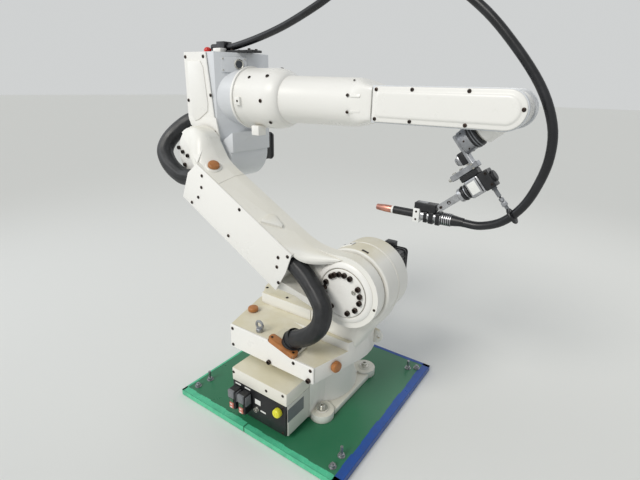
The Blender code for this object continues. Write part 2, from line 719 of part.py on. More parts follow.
def build_swivel_fittings(j1, front, low_top):
    rubber = orange_rubber()
    stop = disc_profile(STOP_RADIUS, 0, STOP_HEIGHT, STOP_HEIGHT / 5)
    place = spot(TOP_STOP_X, TOP_STOP_Y, SWIVEL_TOP + SEAT_GAP)
    link("top_stop_cap", shade_round(turned_mesh("top_stop_cap", stop, TURN_SMALL, place)), rubber, j1)
    # The side cap sits in the middle of the slanting right face
    near = Vector((SWIVEL_HALF_FRONT, front, SIDE_STOP_Z))
    angle = math.radians(-20)
    far = Vector((SWIVEL_RADIUS * math.cos(angle), SWIVEL_RADIUS * math.sin(angle), SIDE_STOP_Z))
    along = (far - near).normalized()
    outward = Vector((along.y, -along.x, 0))
    seat = (near + far) / 2 + outward * SEAT_GAP
    place = point_to(outward, *seat)
    link("side_stop_cap", shade_round(turned_mesh("side_stop_cap", stop, TURN_SMALL, place)), rubber, j1)

    steel = bright_steel()
    base = SWIVEL_TOP + SEAT_GAP
    collar = turned_mesh("lifting_eye", disc_profile(EYE_COLLAR_RADIUS, 0, EYE_COLLAR_HEIGHT, EDGE_FINE),
                         TURN_SMALL, spot(EYE_X, EYE_Y, base))
    eye = link("lifting_eye", shade_round(collar), steel, j1)
    ring_z = base + EYE_COLLAR_HEIGHT + EYE_RING_RADIUS - EYE_WIRE_RADIUS / 2
    place = spot(EYE_X, EYE_Y, ring_z, TO_FRONT)
    combine(eye, wire_ring("eye_ring", EYE_RING_RADIUS, EYE_WIRE_RADIUS, place), "UNION")

    # The gland plate lies on the sloping step, and its leaning sleeve takes the conduit
    top, normal, mouth, lean = gland_places()
    slope = Vector((normal.z, 0, -normal.x))
    corner = Vector((STEP_LEFT, 0, SWIVEL_TOP)) + slope * GLAND_MARGIN + normal * SEAT_GAP
    length = math.hypot(STEP_RIGHT - STEP_LEFT, low_top - SWIVEL_TOP) - GLAND_MARGIN * 2
    outline = [corner, corner + slope * length, corner + slope * length + normal * GLAND_THICK,
               corner + normal * GLAND_THICK]
    mesh = prism_mesh("gland_plate", [(p.x, p.z) for p in outline], SWIVEL_FRONT, GLAND_BACK)
    plate = link("gland_plate", mesh, orange_rubber(), j1)
    inner = CONDUIT_RADIUS + CONDUIT_ROOM
    outer = inner + GLAND_RING_WALL
    foot = top - normal * EDGE_FINE
    rings = [ring_about(foot, normal, outer), ring_about(mouth, lean, outer),
             ring_about(mouth, lean, inner), ring_about(foot, normal, inner)]
    combine(plate, loft_mesh("gland_sleeve", rings, True), "UNION")


def ring_about(centre, direction, radius):
    """Circle points in the plane square to a direction that lies in the XZ plane."""
    across = Vector((direction.z, 0, -direction.x))
    return [centre + (across * math.cos(math.tau * step / TURN_BIG)
                      + Vector((0, 1, 0)) * math.sin(math.tau * step / TURN_BIG)) * radius
            for step in range(TURN_BIG)]


def gland_places():
    """Middle of the gland plate's upper face, the way it faces, and the mouth of its sleeve."""
    slope = Vector((STEP_RIGHT - STEP_LEFT, 0, -SWIVEL_STEP)).normalized()
    normal = Vector((-slope.z, 0, slope.x))
    foot = Vector((STEP_LEFT, GLAND_Y, SWIVEL_TOP)) + slope * (GLAND_MARGIN + GLAND_ALONG)
    top = foot + normal * (SEAT_GAP + GLAND_THICK)
    angle = math.radians(GLAND_LEAN)
    return top, normal, top + normal * GLAND_RISE, Vector((math.cos(angle), 0, math.sin(angle)))


def arm_outline():
    """Side of the lower arm: two hubs and the beam that runs tangent into them."""
    hub = arc(0, 0, ARM_HUB_RADIUS, 180, 395, TURN_BIG // 2)
    leave = hub[-1]
    tangent = math.radians(395 + 90)
    reach = (ARM_HIGH - leave[0]) / math.cos(tangent)
    corner = (ARM_HIGH, leave[1] + reach * math.sin(tangent))
    outline = hub + blend_curve(leave, corner, (ARM_HIGH, BLEND_ALONG), 8) + [(ARM_HIGH, BLEND_ALONG)]
    head = arc(0, ARM_LENGTH, ARM_TOP_RADIUS, -20, 180, TURN_BIG // 3)
    arrive = head[0]
    corner = (ARM_HIGH, ARM_LENGTH - math.sqrt(ARM_TOP_RADIUS ** 2 - ARM_HIGH ** 2))
    leave = (ARM_HIGH, ARM_LENGTH - TOP_BLEND_DROP)
    outline += [leave] + blend_curve(leave, corner, arrive, 6) + head
    outline += [(ARM_LOW, ARM_LENGTH - DUCT_END_DROP), (ARM_LOW, DUCT_START)]
    return outline


def build_lower_arm(j2):
    """The lower arm is drawn upright over the shoulder axis; j2 leans it back."""
    paint = cream_paint()
    plate_front = ARM_BACK - ARM_PLATE_THICK
    duct_front = plate_front - ARM_DUCT_RISE
    duct_end = ARM_LENGTH - DUCT_END_DROP
    arm = link("lower_arm", prism_mesh("lower_arm", arm_outline(), plate_front, ARM_BACK), paint, j2)

    # Cable duct with a leaning upper flank
    behind = duct_front + ARM_COVER_THICK + SEAT_GAP
    high = ARM_HIGH - FLANK_SLOPE
    section = [(ARM_LOW, ARM_BACK), (ARM_HIGH, ARM_BACK), (ARM_HIGH, plate_front),
               (high, behind), (ARM_LOW, behind)]
    duct = section_mesh("duct", section, DUCT_START, duct_end)
    combine(arm, duct, "UNION")

    # Low wall that carries the duct's lower edge round to the shoulder hub
    wall_in = ARM_LOW + WALL_THICK
    wall = [(ARM_LOW, DUCT_START + CUT_OVERRUN), (ARM_LOW, DUCT_START)]
    wall += blend_curve((ARM_LOW, DUCT_START), (ARM_LOW, DUCT_START / 2), (-ARM_HUB_RADIUS, 0), 6)
    wall += [(-ARM_HUB_RADIUS * math.cos(math.radians(5)), ARM_HUB_RADIUS * math.sin(math.radians(5)))]
    wall += [(wall_in, WALL_END_ALONG), (wall_in, DUCT_START + CUT_OVERRUN)]

    def low_front(x, z):
        share = min(max((z - WALL_END_ALONG) / (DUCT_START - WALL_END_ALONG), 0.0), 1.0)
        return plate_front - DISC_THICK + (behind - plate_front + DISC_THICK) * share * share

    combine(arm, ramp_mesh("low_wall", wall, ARM_BACK, low_front), "UNION")

    # Rim that wraps the elbow hub on the forearm side
    inner = ARM_TOP_RADIUS - RIM_WIDTH
    rim = [(high - RIM_WIDTH / 2, duct_end - CUT_OVERRUN), (high, duct_end - CUT_OVERRUN)]
    rim += arc(0, ARM_LENGTH, ARM_TOP_RADIUS - EDGE_FINE, -20, 70, 10)
    rim += arc(0, ARM_LENGTH, inner, 70, -30, 8)

    def top_front(x, z):
        share = min(max((z - duct_end) / (ARM_TOP_RADIUS + DUCT_END_DROP), 0.0), 1.0)
        return behind + (plate_front - RIM_FRONT_RISE - behind) * math.sin(share * math.pi / 2)

    combine(arm, ramp_mesh("top_rim", rim, ARM_BACK, top_front), "UNION")

    # Pockets where the conduits go into the duct
    room = CONDUIT_RADIUS + CONDUIT_ROOM
    for across, mouth, inward in ((POCKET_LOW_ACROSS, DUCT_START, 1), (POCKET_HIGH_ACROSS, duct_end, -1)):
        ends = sorted((mouth - inward * CUT_OVERRUN, mouth + inward * POCKET_DEPTH))
        pocket = box_mesh("pocket", (across - room, behind + ARM_COVER_THICK / 2, ends[0]),
                          (across + room, plate_front - CONDUIT_ROOM, ends[1]))
        combine(arm, pocket, "DIFFERENCE")
    soften(arm, EDGE_SOFT, 1, 50)

    cover = [(ARM_LOW, DUCT_START - DUCT_LIP), (ARM_LOW / 3, DUCT_START - DUCT_LIP), (high, DUCT_START),
             (high, duct_end - DUCT_LIP), (-RIM_WIDTH, duct_end + DUCT_LIP), (ARM_LOW, duct_end)]
    link("arm_cover", prism_mesh("arm_cover", cover, duct_front, duct_front + ARM_COVER_THICK), paint, j2)
    discs = (("shoulder_gear_plate", 0, DISC_RADIUS), ("elbow_gear_plate", ARM_LENGTH, ELBOW_DISC_RADIUS))
    for name, along, radius in discs:
        place = spot(0, plate_front - SEAT_GAP, along, TO_FRONT)
        plate = turned_mesh(name, disc_profile(radius, 0, DISC_THICK, EDGE_FINE), TURN_BIG, place)
        link(name, shade_round(plate), paint, j2)

    # Rubber cap on the upper flank, square to the leaning face
    outward = Vector((plate_front - behind, -FLANK_SLOPE, 0)).normalized()
    seat = Vector(((ARM_HIGH + high) / 2, (plate_front + behind) / 2, ARM_LENGTH - ARM_STOP_DROP))
    place = point_to(outward, *(seat + outward * SEAT_GAP))
    stop = disc_profile(STOP_RADIUS, 0, STOP_HEIGHT, STOP_HEIGHT / 5)
    cap = turned_mesh("arm_stop_cap", stop, TURN_SMALL, place)
    link("arm_stop_cap", shade_round(cap), orange_rubber(), j2)


def build_elbow(j3):
    """Drawn with the elbow axis at the origin and the forearm pointing +X."""
    paint = cream_paint()
    cool = material("cool_white_paint", COOL_WHITE, 0.35)
    front = ELBOW_FRONT + COVER_THICK + SEAT_GAP
    corner_x = ELBOW_LEFT + ELBOW_CORNER
    corner_z = ELBOW_BOTTOM + ELBOW_CORNER
    rounded = [(ELBOW_LEFT, ELBOW_TOP)] + arc(corner_x, corner_z, ELBOW_CORNER, 180, 270, 6)
    side = ELBOW_RIGHT - EDGE_FINE
    outline = rounded + [(side, ELBOW_BOTTOM), (side, ELBOW_TOP)]
    casting = link("elbow_casting", prism_mesh("elbow_casting", outline, front, ELBOW_BACK), cool, j3)

    # Round hub about the elbow axis, with the bearing boss that meets the lower arm
    low_front = ELBOW_FRONT + BULGE_SETBACK
    hub_back = ELBOW_BACK + EDGE_FINE
    reach = hub_back - low_front
    boss_reach = hub_back - ARM_BACK - SEAT_GAP
    hub = [(0, 0), (ELBOW_HUB_RADIUS - EDGE_SOFT, 0), (ELBOW_HUB_RADIUS, EDGE_SOFT),
           (ELBOW_HUB_RADIUS, reach - EDGE_SOFT), (ELBOW_HUB_RADIUS - EDGE_SOFT, reach),
           (ELBOW_BOSS_RADIUS, reach), (ELBOW_BOSS_RADIUS, boss_reach), (0, boss_reach)]
    combine(casting, turned_mesh("elbow_hub", hub, TURN_BIG, spot(0, hub_back, 0, TO_FRONT)), "UNION")
    # Swelling below the forearm flange
    last = -math.degrees(math.acos((side - BULGE_X) / BULGE_RADIUS))
    bulge = arc(BULGE_X, BULGE_Z, BULGE_RADIUS, -180, last, TURN_BIG // 4)
    bulge += [(side, ELBOW_BOTTOM + ELBOW_CORNER), (BULGE_X - BULGE_RADIUS, ELBOW_BOTTOM + ELBOW_CORNER)]
    combine(casting, prism_mesh("bulge", bulge, low_front, ELBOW_BACK - EDGE_FINE), "UNION")

    # Slanting front corner that runs out in a tip on the swelling
    tip = Vector((CHAMFER_START, ELBOW_FRONT))
    beyond = ELBOW_RIGHT + CUT_OVERRUN
    wide = [Vector((beyond, ELBOW_FRONT)), Vector((beyond, CHAMFER_BACK)), Vector((side, CHAMFER_BACK))]
    rings = []
    for share, height in ((TIP_SHARE, CHAMFER_LOW), (1, CHAMFER_FULL), (1, ELBOW_TOP + CUT_OVERRUN)):
        ring = [tip - Vector((0, CUT_OVERRUN)) * share]
        ring += [tip + (point - tip) * share - Vector((0, CUT_OVERRUN)) * share for point in wide[:1]]
        ring += [tip + (point - tip) * share for point in wide[1:]]
        ring += [tip]
        rings.append([(point.x, point.y, height) for point in ring])
    combine(casting, loft_mesh("front_slant", rings), "DIFFERENCE")

    # Round boss for the forearm, with the bearing ring that meets it
    seat = ELBOW_RIGHT + RUN_GAP - SEAT_GAP
    boss_radius = ROOT_RADIUS - EDGE_SOFT
    boss = [(0, CHAMFER_START), (boss_radius, CHAMFER_START), (boss_radius, ELBOW_RIGHT),
            (ROOT_BOSS_RADIUS, ELBOW_RIGHT), (ROOT_BOSS_RADIUS, seat), (0, seat)]
    combine(casting, turned_mesh("forearm_boss", boss, TURN_BIG, spot(0, 0, ELBOW_RISE, TO_RIGHT)), "UNION")

    # Pocket in the lower corner where the conduit goes in
    place = spot(ELBOW_LEFT - CUT_OVERRUN, ENTRY_Y, ENTRY_Z, TO_RIGHT)
    pocket = disc_profile(CONDUIT_RADIUS + CONDUIT_ROOM, 0, CUT_OVERRUN + ENTRY_DEPTH)
    combine(casting, turned_mesh("entry_pocket", pocket, TURN_BIG, place), "DIFFERENCE")

    cover_outline = rounded + [(ELBOW_LEFT + COVER_LOW_WIDTH, ELBOW_BOTTOM),
                               (ELBOW_LEFT + COVER_TOP_WIDTH, ELBOW_TOP)]
    cover = link("elbow_cover", prism_mesh("elbow_cover", cover_outline, ELBOW_FRONT,
                                           ELBOW_FRONT + COVER_THICK), paint, j3)
    soften(cover, EDGE_FINE, 1)
    back = hub_back + SEAT_GAP
    half = ELBOW_MOTOR_SIDE / 2
    motor = link("elbow_motor", box_mesh("elbow_motor", (-half, back, -half),
                                         (half, back + ELBOW_MOTOR_LENGTH, half)),
                 material("motor_black", BLACK, 0.45), j3)
    soften(motor, EDGE_SOFT * 3, 2)

    top = ELBOW_TOP + SEAT_GAP
    half_lamp = LAMP_HEIGHT / 2
    lamp = [(0, 0), (LAMP_RADIUS, 0), (LAMP_RADIUS, half_lamp)]
    for angle in (math.radians(degrees) for degrees in range(15, 90, 15)):
        lamp.append((LAMP_RADIUS * math.cos(angle), half_lamp * (1 + math.sin(angle))))
    lamp += [(0, LAMP_HEIGHT)]
    mesh = turned_mesh("status_lamp", lamp, TURN_SMALL, spot(LAMP_X, LAMP_Y, top))
    link("status_lamp", shade_round(mesh), material("red_lens", (0.70, 0.05, 0.02), 0.15), j3)

    # Clamp that holds the torch cable on top of the elbow
    foot = box_mesh("cable_clamp", (CLAMP_LEFT, -CLAMP_HALF_WIDTH, top),
                    (CLAMP_RIGHT, CLAMP_HALF_WIDTH, top + CLAMP_PLATE))
    clamp = link("cable_clamp", foot, tool_black(), j3)
    block = box_mesh("clamp_block", (CLAMP_LEFT, -CLAMP_BLOCK / 2, top + CLAMP_PLATE / 2),
                     (CLAMP_LEFT + CLAMP_BLOCK, CLAMP_BLOCK / 2, top + CLAMP_HEIGHT))
    combine(clamp, block, "UNION")
    bore = disc_profile(TORCH_CABLE_RADIUS + SEAT_GAP * 2, 0, CLAMP_BLOCK + CUT_OVERRUN * 2)
    place = spot(CLAMP_LEFT - CUT_OVERRUN, 0, top + CLAMP_CABLE_RISE, TO_RIGHT)
    combine(clamp, turned_mesh("clamp_bore", bore, TURN_SMALL, place), "DIFFERENCE")


def build_forearm(j4):
    """Drawn about the forearm axis with the wrist axis at the origin."""
    paint = cream_paint()
    start = -FOREARM_LENGTH + ELBOW_RIGHT + RUN_GAP
    shoulder = start + ROOT_LENGTH
    # Stations along the arm: place, half width, half height, and how square it is
    stations = [(start, RIM_RADIUS, RIM_RADIUS, 2), (start + RIM_THICK, RIM_RADIUS, RIM_RADIUS, 2),
                (start + RIM_THICK, ROOT_RADIUS, ROOT_RADIUS, 2)]
    for along, across in arc(0, 0, 1, 90, 0, 8):
        radius = TUBE_START_RADIUS + (ROOT_RADIUS - TUBE_START_RADIUS) * across
        stations.append((shoulder + SHOULDER_LENGTH * along, radius, radius, 2))
    stations.append((FLARE_START, TUBE_END_RADIUS, TUBE_END_RADIUS, 2))
    steps = 6
    for step in range(1, steps + 1):
        share = step / steps
        ease = share * share * (3 - 2 * share)
        stations.append((FLARE_START + (CASE_START - FLARE_START) * share,
                         TUBE_END_RADIUS + (CASE_HALF_WIDTH - TUBE_END_RADIUS) * ease,
                         TUBE_END_RADIUS + (CASE_HALF_HEIGHT - TUBE_END_RADIUS) * ease,
                         2 + CASE_SQUARENESS * ease))
    rings = [[(place, y, z) for y, z in rounded_ring(half_y, half_z, power, TURN_BIG)]
             for place, half_y, half_z, power in stations]
    link("forearm_tube", shade_round(loft_mesh("forearm_tube", rings)), paint, j4)

    left = CASE_START + SEAT_GAP
    outline = arc(0, 0, CASE_HALF_HEIGHT, -90, 90, TURN_BIG // 3)
    outline += [(left, CASE_HALF_HEIGHT), (left, -CASE_HALF_HEIGHT)]
    inner = CASE_HALF_WIDTH - CASE_COVER_THICK - SEAT_GAP
    case = link("wrist_case", prism_mesh("wrist_case", outline, -inner, inner), paint, j4)
    slot_start = -FLANGE_FACE - SLOT_ROOM
    slot_half = WRIST_HALF_WIDTH + RUN_GAP
    slot_reach = CASE_HALF_HEIGHT + CUT_OVERRUN
    slot = box_mesh("wrist_slot", (slot_start, -slot_half, -slot_reach), (slot_reach, slot_half, slot_reach))
    combine(case, slot, "DIFFERENCE")
    low = CASE_HALF_HEIGHT - CASE_COVER_INSET
    plate = arc(0, 0, low, -90, 90, TURN_BIG // 3)
    plate += arc(left + CASE_COVER_INSET + CASE_CORNER, low - CASE_CORNER, CASE_CORNER, 90, 180, 4)
    plate += arc(left + CASE_COVER_INSET + CASE_CORNER, CASE_CORNER - low, CASE_CORNER, 180, 270, 4)
    for name, side in (("wrist_cover_left", -1), ("wrist_cover_right", 1)):
        near = side * (inner + SEAT_GAP)
        cover = link(name, prism_mesh(name, plate, near, side * CASE_HALF_WIDTH), paint, j4)
        soften(cover, EDGE_FINE, 1, 60)


def build_wrist(j5):
    """Drawn with the wrist axis at the origin and the hand axis along +Z."""
    paint = cream_paint()
    # The pins on both sides meet the walls of the forearm case
    pin = WRIST_HALF_WIDTH + RUN_GAP - SEAT_GAP
    drum = [(0, -pin), (WRIST_PIN_RADIUS, -pin), (WRIST_PIN_RADIUS, -WRIST_HALF_WIDTH),
            (WRIST_RADIUS - EDGE_SOFT, -WRIST_HALF_WIDTH), (WRIST_RADIUS, EDGE_SOFT - WRIST_HALF_WIDTH),
            (WRIST_RADIUS, WRIST_HALF_WIDTH - EDGE_SOFT), (WRIST_RADIUS - EDGE_SOFT, WRIST_HALF_WIDTH),
            (WRIST_PIN_RADIUS, WRIST_HALF_WIDTH), (WRIST_PIN_RADIUS, pin), (0, pin)]
    wrist = link("wrist_body", shade_round(turned_mesh("wrist_body", drum, TURN_BIG, TO_FRONT)), paint, j5)
    seat = TOOL_RING_START - SEAT_GAP
    nose = [(0, 0), (NOSE_RADIUS, 0), (NOSE_RADIUS, WRIST_NOSE - EDGE_SOFT),
            (NOSE_RADIUS - EDGE_SOFT, WRIST_NOSE), (NOSE_BOSS_RADIUS, WRIST_NOSE),
            (NOSE_BOSS_RADIUS, seat), (0, seat)]
    combine(wrist, turned_mesh("nose", nose, TURN_BIG), "UNION")


def build_tool(j6):
    """Flange, bracket and torch mount; X points away from the forearm at rest."""
    steel = bright_steel()
    black = tool_black()
    profile = disc_profile(TOOL_RING_RADIUS, TOOL_RING_START, TOOL_RING_END, EDGE_FINE)
    link("tool_ring", shade_round(turned_mesh("tool_ring", profile)), black, j6)
    profile = disc_profile(FLANGE_RADIUS, TOOL_RING_END + SEAT_GAP, FLANGE_FACE, EDGE_FINE)
    link("tool_flange", shade_round(turned_mesh("tool_flange", profile)), steel, j6)

    near = FLANGE_FACE + SEAT_GAP
    far = near + BRACKET_THICK
    outline = [(-BRACKET_REACH, near), (BAR_LOW, near), (BAR_LOW, BAR_REAR), (BAR_HIGH, BAR_REAR),
               (BAR_HIGH, BAR_FRONT), (BAR_LOW, BAR_FRONT), (BAR_LOW, far), (-BRACKET_REACH, far)]
    mesh = prism_mesh("torch_bracket", outline, -BRACKET_HALF_WIDTH, BRACKET_HALF_WIDTH)
    bar = link("torch_bracket", mesh, steel, j6)
    soften(bar, EDGE_FINE, 1)

    seat = far + SEAT_GAP
    low = (KNOB_ACROSS - KNOB_RADIUS, -BRACKET_HALF_WIDTH, seat)
    high = (KNOB_ACROSS + KNOB_RADIUS, BRACKET_HALF_WIDTH, seat + KNOB_BLOCK)
    block = link("bracket_block", box_mesh("bracket_block", low, high), black, j6)
    knob = disc_profile(KNOB_RADIUS - EDGE_FINE, KNOB_BLOCK / 2, KNOB_BLOCK + KNOB_LENGTH, EDGE_FINE)
    combine(block, turned_mesh("knob", knob, TURN_SMALL, spot(KNOB_ACROSS, 0, seat)), "UNION")

    plate = box_mesh("sensor_plate", (BAR_HIGH + SEAT_GAP, -SENSOR_PLATE_HALF, PLATE_REAR),
                     (PLATE_HIGH, SENSOR_PLATE_HALF, PLATE_FRONT))
    soften(link("sensor_plate", plate, black, j6), EDGE_FINE, 1)
    low = PLATE_HIGH + SEAT_GAP
    box = box_mesh("shock_sensor", (low, -HOLDER_HALF, HOLDER_SPLIT),
                   (HOLDER_HIGH, HOLDER_HALF, HOLDER_FRONT))
    sensor = link("shock_sensor", box, steel, j6)
    rear = box_mesh("sensor_rear", (low, EDGE_FINE - HOLDER_HALF, HOLDER_REAR),
                    (HOLDER_HIGH + EDGE_FINE, HOLDER_HALF - EDGE_FINE, HOLDER_SPLIT + EDGE_FINE))
    combine(sensor, rear, "UNION")
    soften(sensor, EDGE_FINE, 1, 60)

    # Ringed collar and the flat neck that carries the torch
    middle = (low + HOLDER_HIGH) / 2
    base = HOLDER_FRONT + SEAT_GAP
    third = COLLAR_LENGTH / 3
    collar = [(0, 0), (COLLAR_WAIST, 0), (COLLAR_WAIST, EDGE_SOFT), (COLLAR_RADIUS, EDGE_SOFT),
              (COLLAR_RADIUS, third), (COLLAR_WAIST, third + EDGE_FINE),
              (COLLAR_WAIST, third * 2 - EDGE_FINE), (COLLAR_RADIUS, third * 2),
              (COLLAR_RADIUS, COLLAR_LENGTH - EDGE_FINE), (COLLAR_RADIUS - EDGE_FINE, COLLAR_LENGTH),
              (0, COLLAR_LENGTH)]
    mesh = turned_mesh("sensor_neck", collar, TURN_SMALL, spot(middle, 0, base))
    neck = link("sensor_neck", mesh, steel, j6)
    start = base + COLLAR_LENGTH - EDGE_FINE
    flat = box_mesh("flat_neck", (middle - NECK_HALF, -NECK_HALF, start),
                    (middle + NECK_HALF, NECK_HALF, NECK_END))
    combine(neck, flat, "UNION")
    hole = disc_profile(NECK_HOLE, 0, (NECK_HALF + CUT_OVERRUN) * 2)
    place = spot(middle, NECK_HALF + CUT_OVERRUN, (start + NECK_END) / 2, TO_FRONT)
    combine(neck, turned_mesh("neck_hole", hole, TURN_SMALL, place), "DIFFERENCE")

    # Guide ring for the torch cable, on a rod from the sensor
    reach = GUIDE_ACROSS - GUIDE_RING_RADIUS
    profile = disc_profile(GUIDE_ROD_RADIUS, HOLDER_HIGH + EDGE_FINE + SEAT_GAP, reach)
    rod = turned_mesh("cable_guide", profile, TURN_SMALL, spot(0, 0, GUIDE_ALONG, TO_RIGHT))
    guide = link("cable_guide", rod, steel, j6)
    place = spot(GUIDE_ACROSS, 0, GUIDE_ALONG)
    combine(guide, wire_ring("guide_ring", GUIDE_RING_RADIUS, GUIDE_WIRE_RADIUS, place), "UNION")
    torch = empty("torch", (TORCH_ACROSS, 0, TORCH_ALONG), j6, (0, -TORCH_BEND, 0))
    build_torch(torch)


def build_torch(torch):
    """Welding torch drawn along its own axis; X is down at rest."""
    steel = bright_steel()
    clamp = link("torch_clamp", box_mesh("torch_clamp", (-SADDLE_LOW, -SADDLE_HALF, SADDLE_REAR),
                                         (SADDLE_LOW, SADDLE_HALF, SADDLE_FRONT)), cream_paint(), torch)
    under = -GRIP_RADIUS - EDGE_FINE / 2
    block = box_mesh("clamp_block", (CLAMP_TOP, -SADDLE_HALF + EDGE_FINE, CLAMP_REAR),
                     (under, SADDLE_HALF - EDGE_FINE, SADDLE_FRONT - EDGE_FINE))
    combine(clamp, block, "UNION")
    bore = disc_profile(BARREL_RADIUS + SEAT_GAP, SADDLE_REAR - CUT_OVERRUN, SADDLE_FRONT + CUT_OVERRUN)
    combine(clamp, turned_mesh("clamp_bore", bore, TURN_BIG), "DIFFERENCE")

    ring = GRIP_RADIUS + EDGE_FINE / 2
    body = [(0, TAIL_REAR), (TAIL_RADIUS, TAIL_REAR), (TAIL_RADIUS, TAIL_FRONT),
            (ring, TAIL_FRONT + EDGE_FINE), (ring, GRIP_REAR), (GRIP_RADIUS, GRIP_REAR),
            (GRIP_RADIUS, GRIP_FRONT), (BARREL_RADIUS, GRIP_FRONT),
            (BARREL_RADIUS, NOZZLE_REAR - EDGE_SOFT), (NOZZLE_RADIUS, NOZZLE_REAR - EDGE_SOFT),
            (NOZZLE_RADIUS, NOZZLE_REAR - SEAT_GAP), (0, NOZZLE_REAR - SEAT_GAP)]
    link("torch_body", shade_round(turned_mesh("torch_body", body, TURN_SMALL)), steel, torch)
    depth = NOZZLE_TIP - NOZZLE_BORE * 4
    nozzle = [(0, NOZZLE_REAR), (NOZZLE_RADIUS, NOZZLE_REAR), (NOZZLE_RADIUS, depth),
              (NOZZLE_TIP_RADIUS, NOZZLE_TIP), (NOZZLE_BORE, NOZZLE_TIP), (NOZZLE_BORE, depth), (0, depth)]
    copper = material("copper", (0.72, 0.36, 0.20), 0.3, 1.0)
    link("gas_nozzle", shade_round(turned_mesh("gas_nozzle", nozzle, TURN_SMALL)), copper, torch)


def build_conduits(j1_frame):
    """The two black conduits at rest, from gland to duct and from duct to elbow."""
    black = cable_black()
    lean = math.radians(ARM_LEAN)
    along = Vector((-math.sin(lean), 0, math.cos(lean)))
    across = Vector((math.cos(lean), 0, math.sin(lean)))
    shoulder = Vector((J2_X, 0, J2_Z))
    elbow = shoulder + along * ARM_LENGTH
    plate_front = ARM_BACK - ARM_PLATE_THICK
    middle_y = plate_front - (ARM_DUCT_RISE - ARM_COVER_THICK) / 2

    def on_arm(n, y, u):
        point = shoulder + across * n + along * u
        return Vector((point.x, y, point.z))

    mouth, axis = gland_places()[2:]
    knots = [mouth - axis * GLAND_RING_WALL, mouth + axis * SHOULDER_RUN]
    for x, y, z in ((RISE_1_X, RISE_1_Y, RISE_1_Z), (RISE_2_X, RISE_2_Y, RISE_2_Z),
                    (RISE_3_X, RISE_3_Y, RISE_3_Z), (RISE_4_X, RISE_4_Y, RISE_4_Z),
                    (RISE_5_X, RISE_5_Y, RISE_5_Z)):
        knots.append(Vector((x, y, z)))
    knots += [on_arm(OVER_1_ACROSS, OVER_1_Y, OVER_1_ALONG), on_arm(OVER_2_ACROSS, OVER_2_Y, OVER_2_ALONG),
              on_arm(POCKET_LOW_ACROSS, middle_y, DUCT_START),
              on_arm(POCKET_LOW_ACROSS, middle_y, DUCT_START + POCKET_DEPTH - EDGE_SOFT)]
    tube("shoulder_conduit", smooth_route(knots, 4), CONDUIT_RADIUS, black, j1_frame)

    duct_end = ARM_LENGTH - DUCT_END_DROP
    knots = [on_arm(POCKET_HIGH_ACROSS, middle_y, duct_end - POCKET_DEPTH + EDGE_SOFT),
             on_arm(POCKET_HIGH_ACROSS, middle_y, duct_end)]
    for x, y, z in ((BEND_1_X, BEND_1_Y, BEND_1_Z), (BEND_2_X, BEND_2_Y, BEND_2_Z),
                    (BEND_3_X, BEND_3_Y, BEND_3_Z), (BEND_4_X, BEND_4_Y, BEND_4_Z),
                    (BEND_5_X, BEND_5_Y, BEND_5_Z), (BEND_6_X, BEND_6_Y, BEND_6_Z),
                    (BEND_7_X, BEND_7_Y, BEND_7_Z)):
        knots.append(elbow + Vector((x, y, z)))
    knots += [elbow + Vector((ELBOW_LEFT, ENTRY_Y, ENTRY_Z)),
              elbow + Vector((ELBOW_LEFT + ENTRY_DEPTH - EDGE_SOFT, ENTRY_Y, ENTRY_Z))]
    tube("elbow_conduit", smooth_route(knots, 4), CONDUIT_RADIUS, black, j1_frame)


def build_torch_cable(elbow_frame):
    """Torch cable at rest, from the torch round the wrist and over to the elbow clamp."""
    droop = math.radians(90 + WRIST_DROOP)
    forward = Vector((math.sin(droop), 0, math.cos(droop)))
    lean = math.radians(ARM_LEAN)
    elbow = Vector((J2_X - ARM_LENGTH * math.sin(lean), 0, J2_Z + ARM_LENGTH * math.cos(lean)))
    wrist = elbow + Vector((FOREARM_LENGTH, 0, ELBOW_RISE))
    side = Vector((-forward.z, 0, forward.x))
    torch = wrist + side * TORCH_ACROSS + forward * TORCH_ALONG
    turn = math.radians(TORCH_BEND)
    axis = forward * math.cos(turn) - side * math.sin(turn)
    knots = [torch + axis * (TAIL_REAR - SEAT_GAP * 2), torch + axis * (TAIL_REAR - TORCH_CABLE_RADIUS)]
    for x, z in ((LOOP_1_X, LOOP_1_Z), (LOOP_2_X, LOOP_2_Z), (LOOP_3_X, LOOP_3_Z), (LOOP_4_X, LOOP_4_Z),
                 (LOOP_5_X, LOOP_5_Z), (LOOP_6_X, LOOP_6_Z), (LOOP_7_X, LOOP_7_Z), (LOOP_8_X, LOOP_8_Z),
                 (LOOP_9_X, LOOP_9_Z), (LOOP_10_X, LOOP_10_Z), (LOOP_11_X, LOOP_11_Z),
                 (LOOP_12_X, LOOP_12_Z), (LOOP_13_X, LOOP_13_Z), (LOOP_14_X, LOOP_14_Z),
                 (LOOP_15_X, LOOP_15_Z), (LOOP_16_X, LOOP_16_Z)):
        knots.append(Vector((x, 0, z)))
    height = elbow.z + ELBOW_TOP + SEAT_GAP + CLAMP_CABLE_RISE
    end = elbow.x + CLAMP_LEFT
    knots.append(Vector((end + CLAMP_BLOCK * 2, 0, height + EDGE_FINE)))
    knots += [Vector((end + CLAMP_BLOCK * step, 0, height)) for step in (1, 0, -1)]
    tube("torch_cable", smooth_route(knots, 3), TORCH_CABLE_RADIUS, cable_black(), elbow_frame)


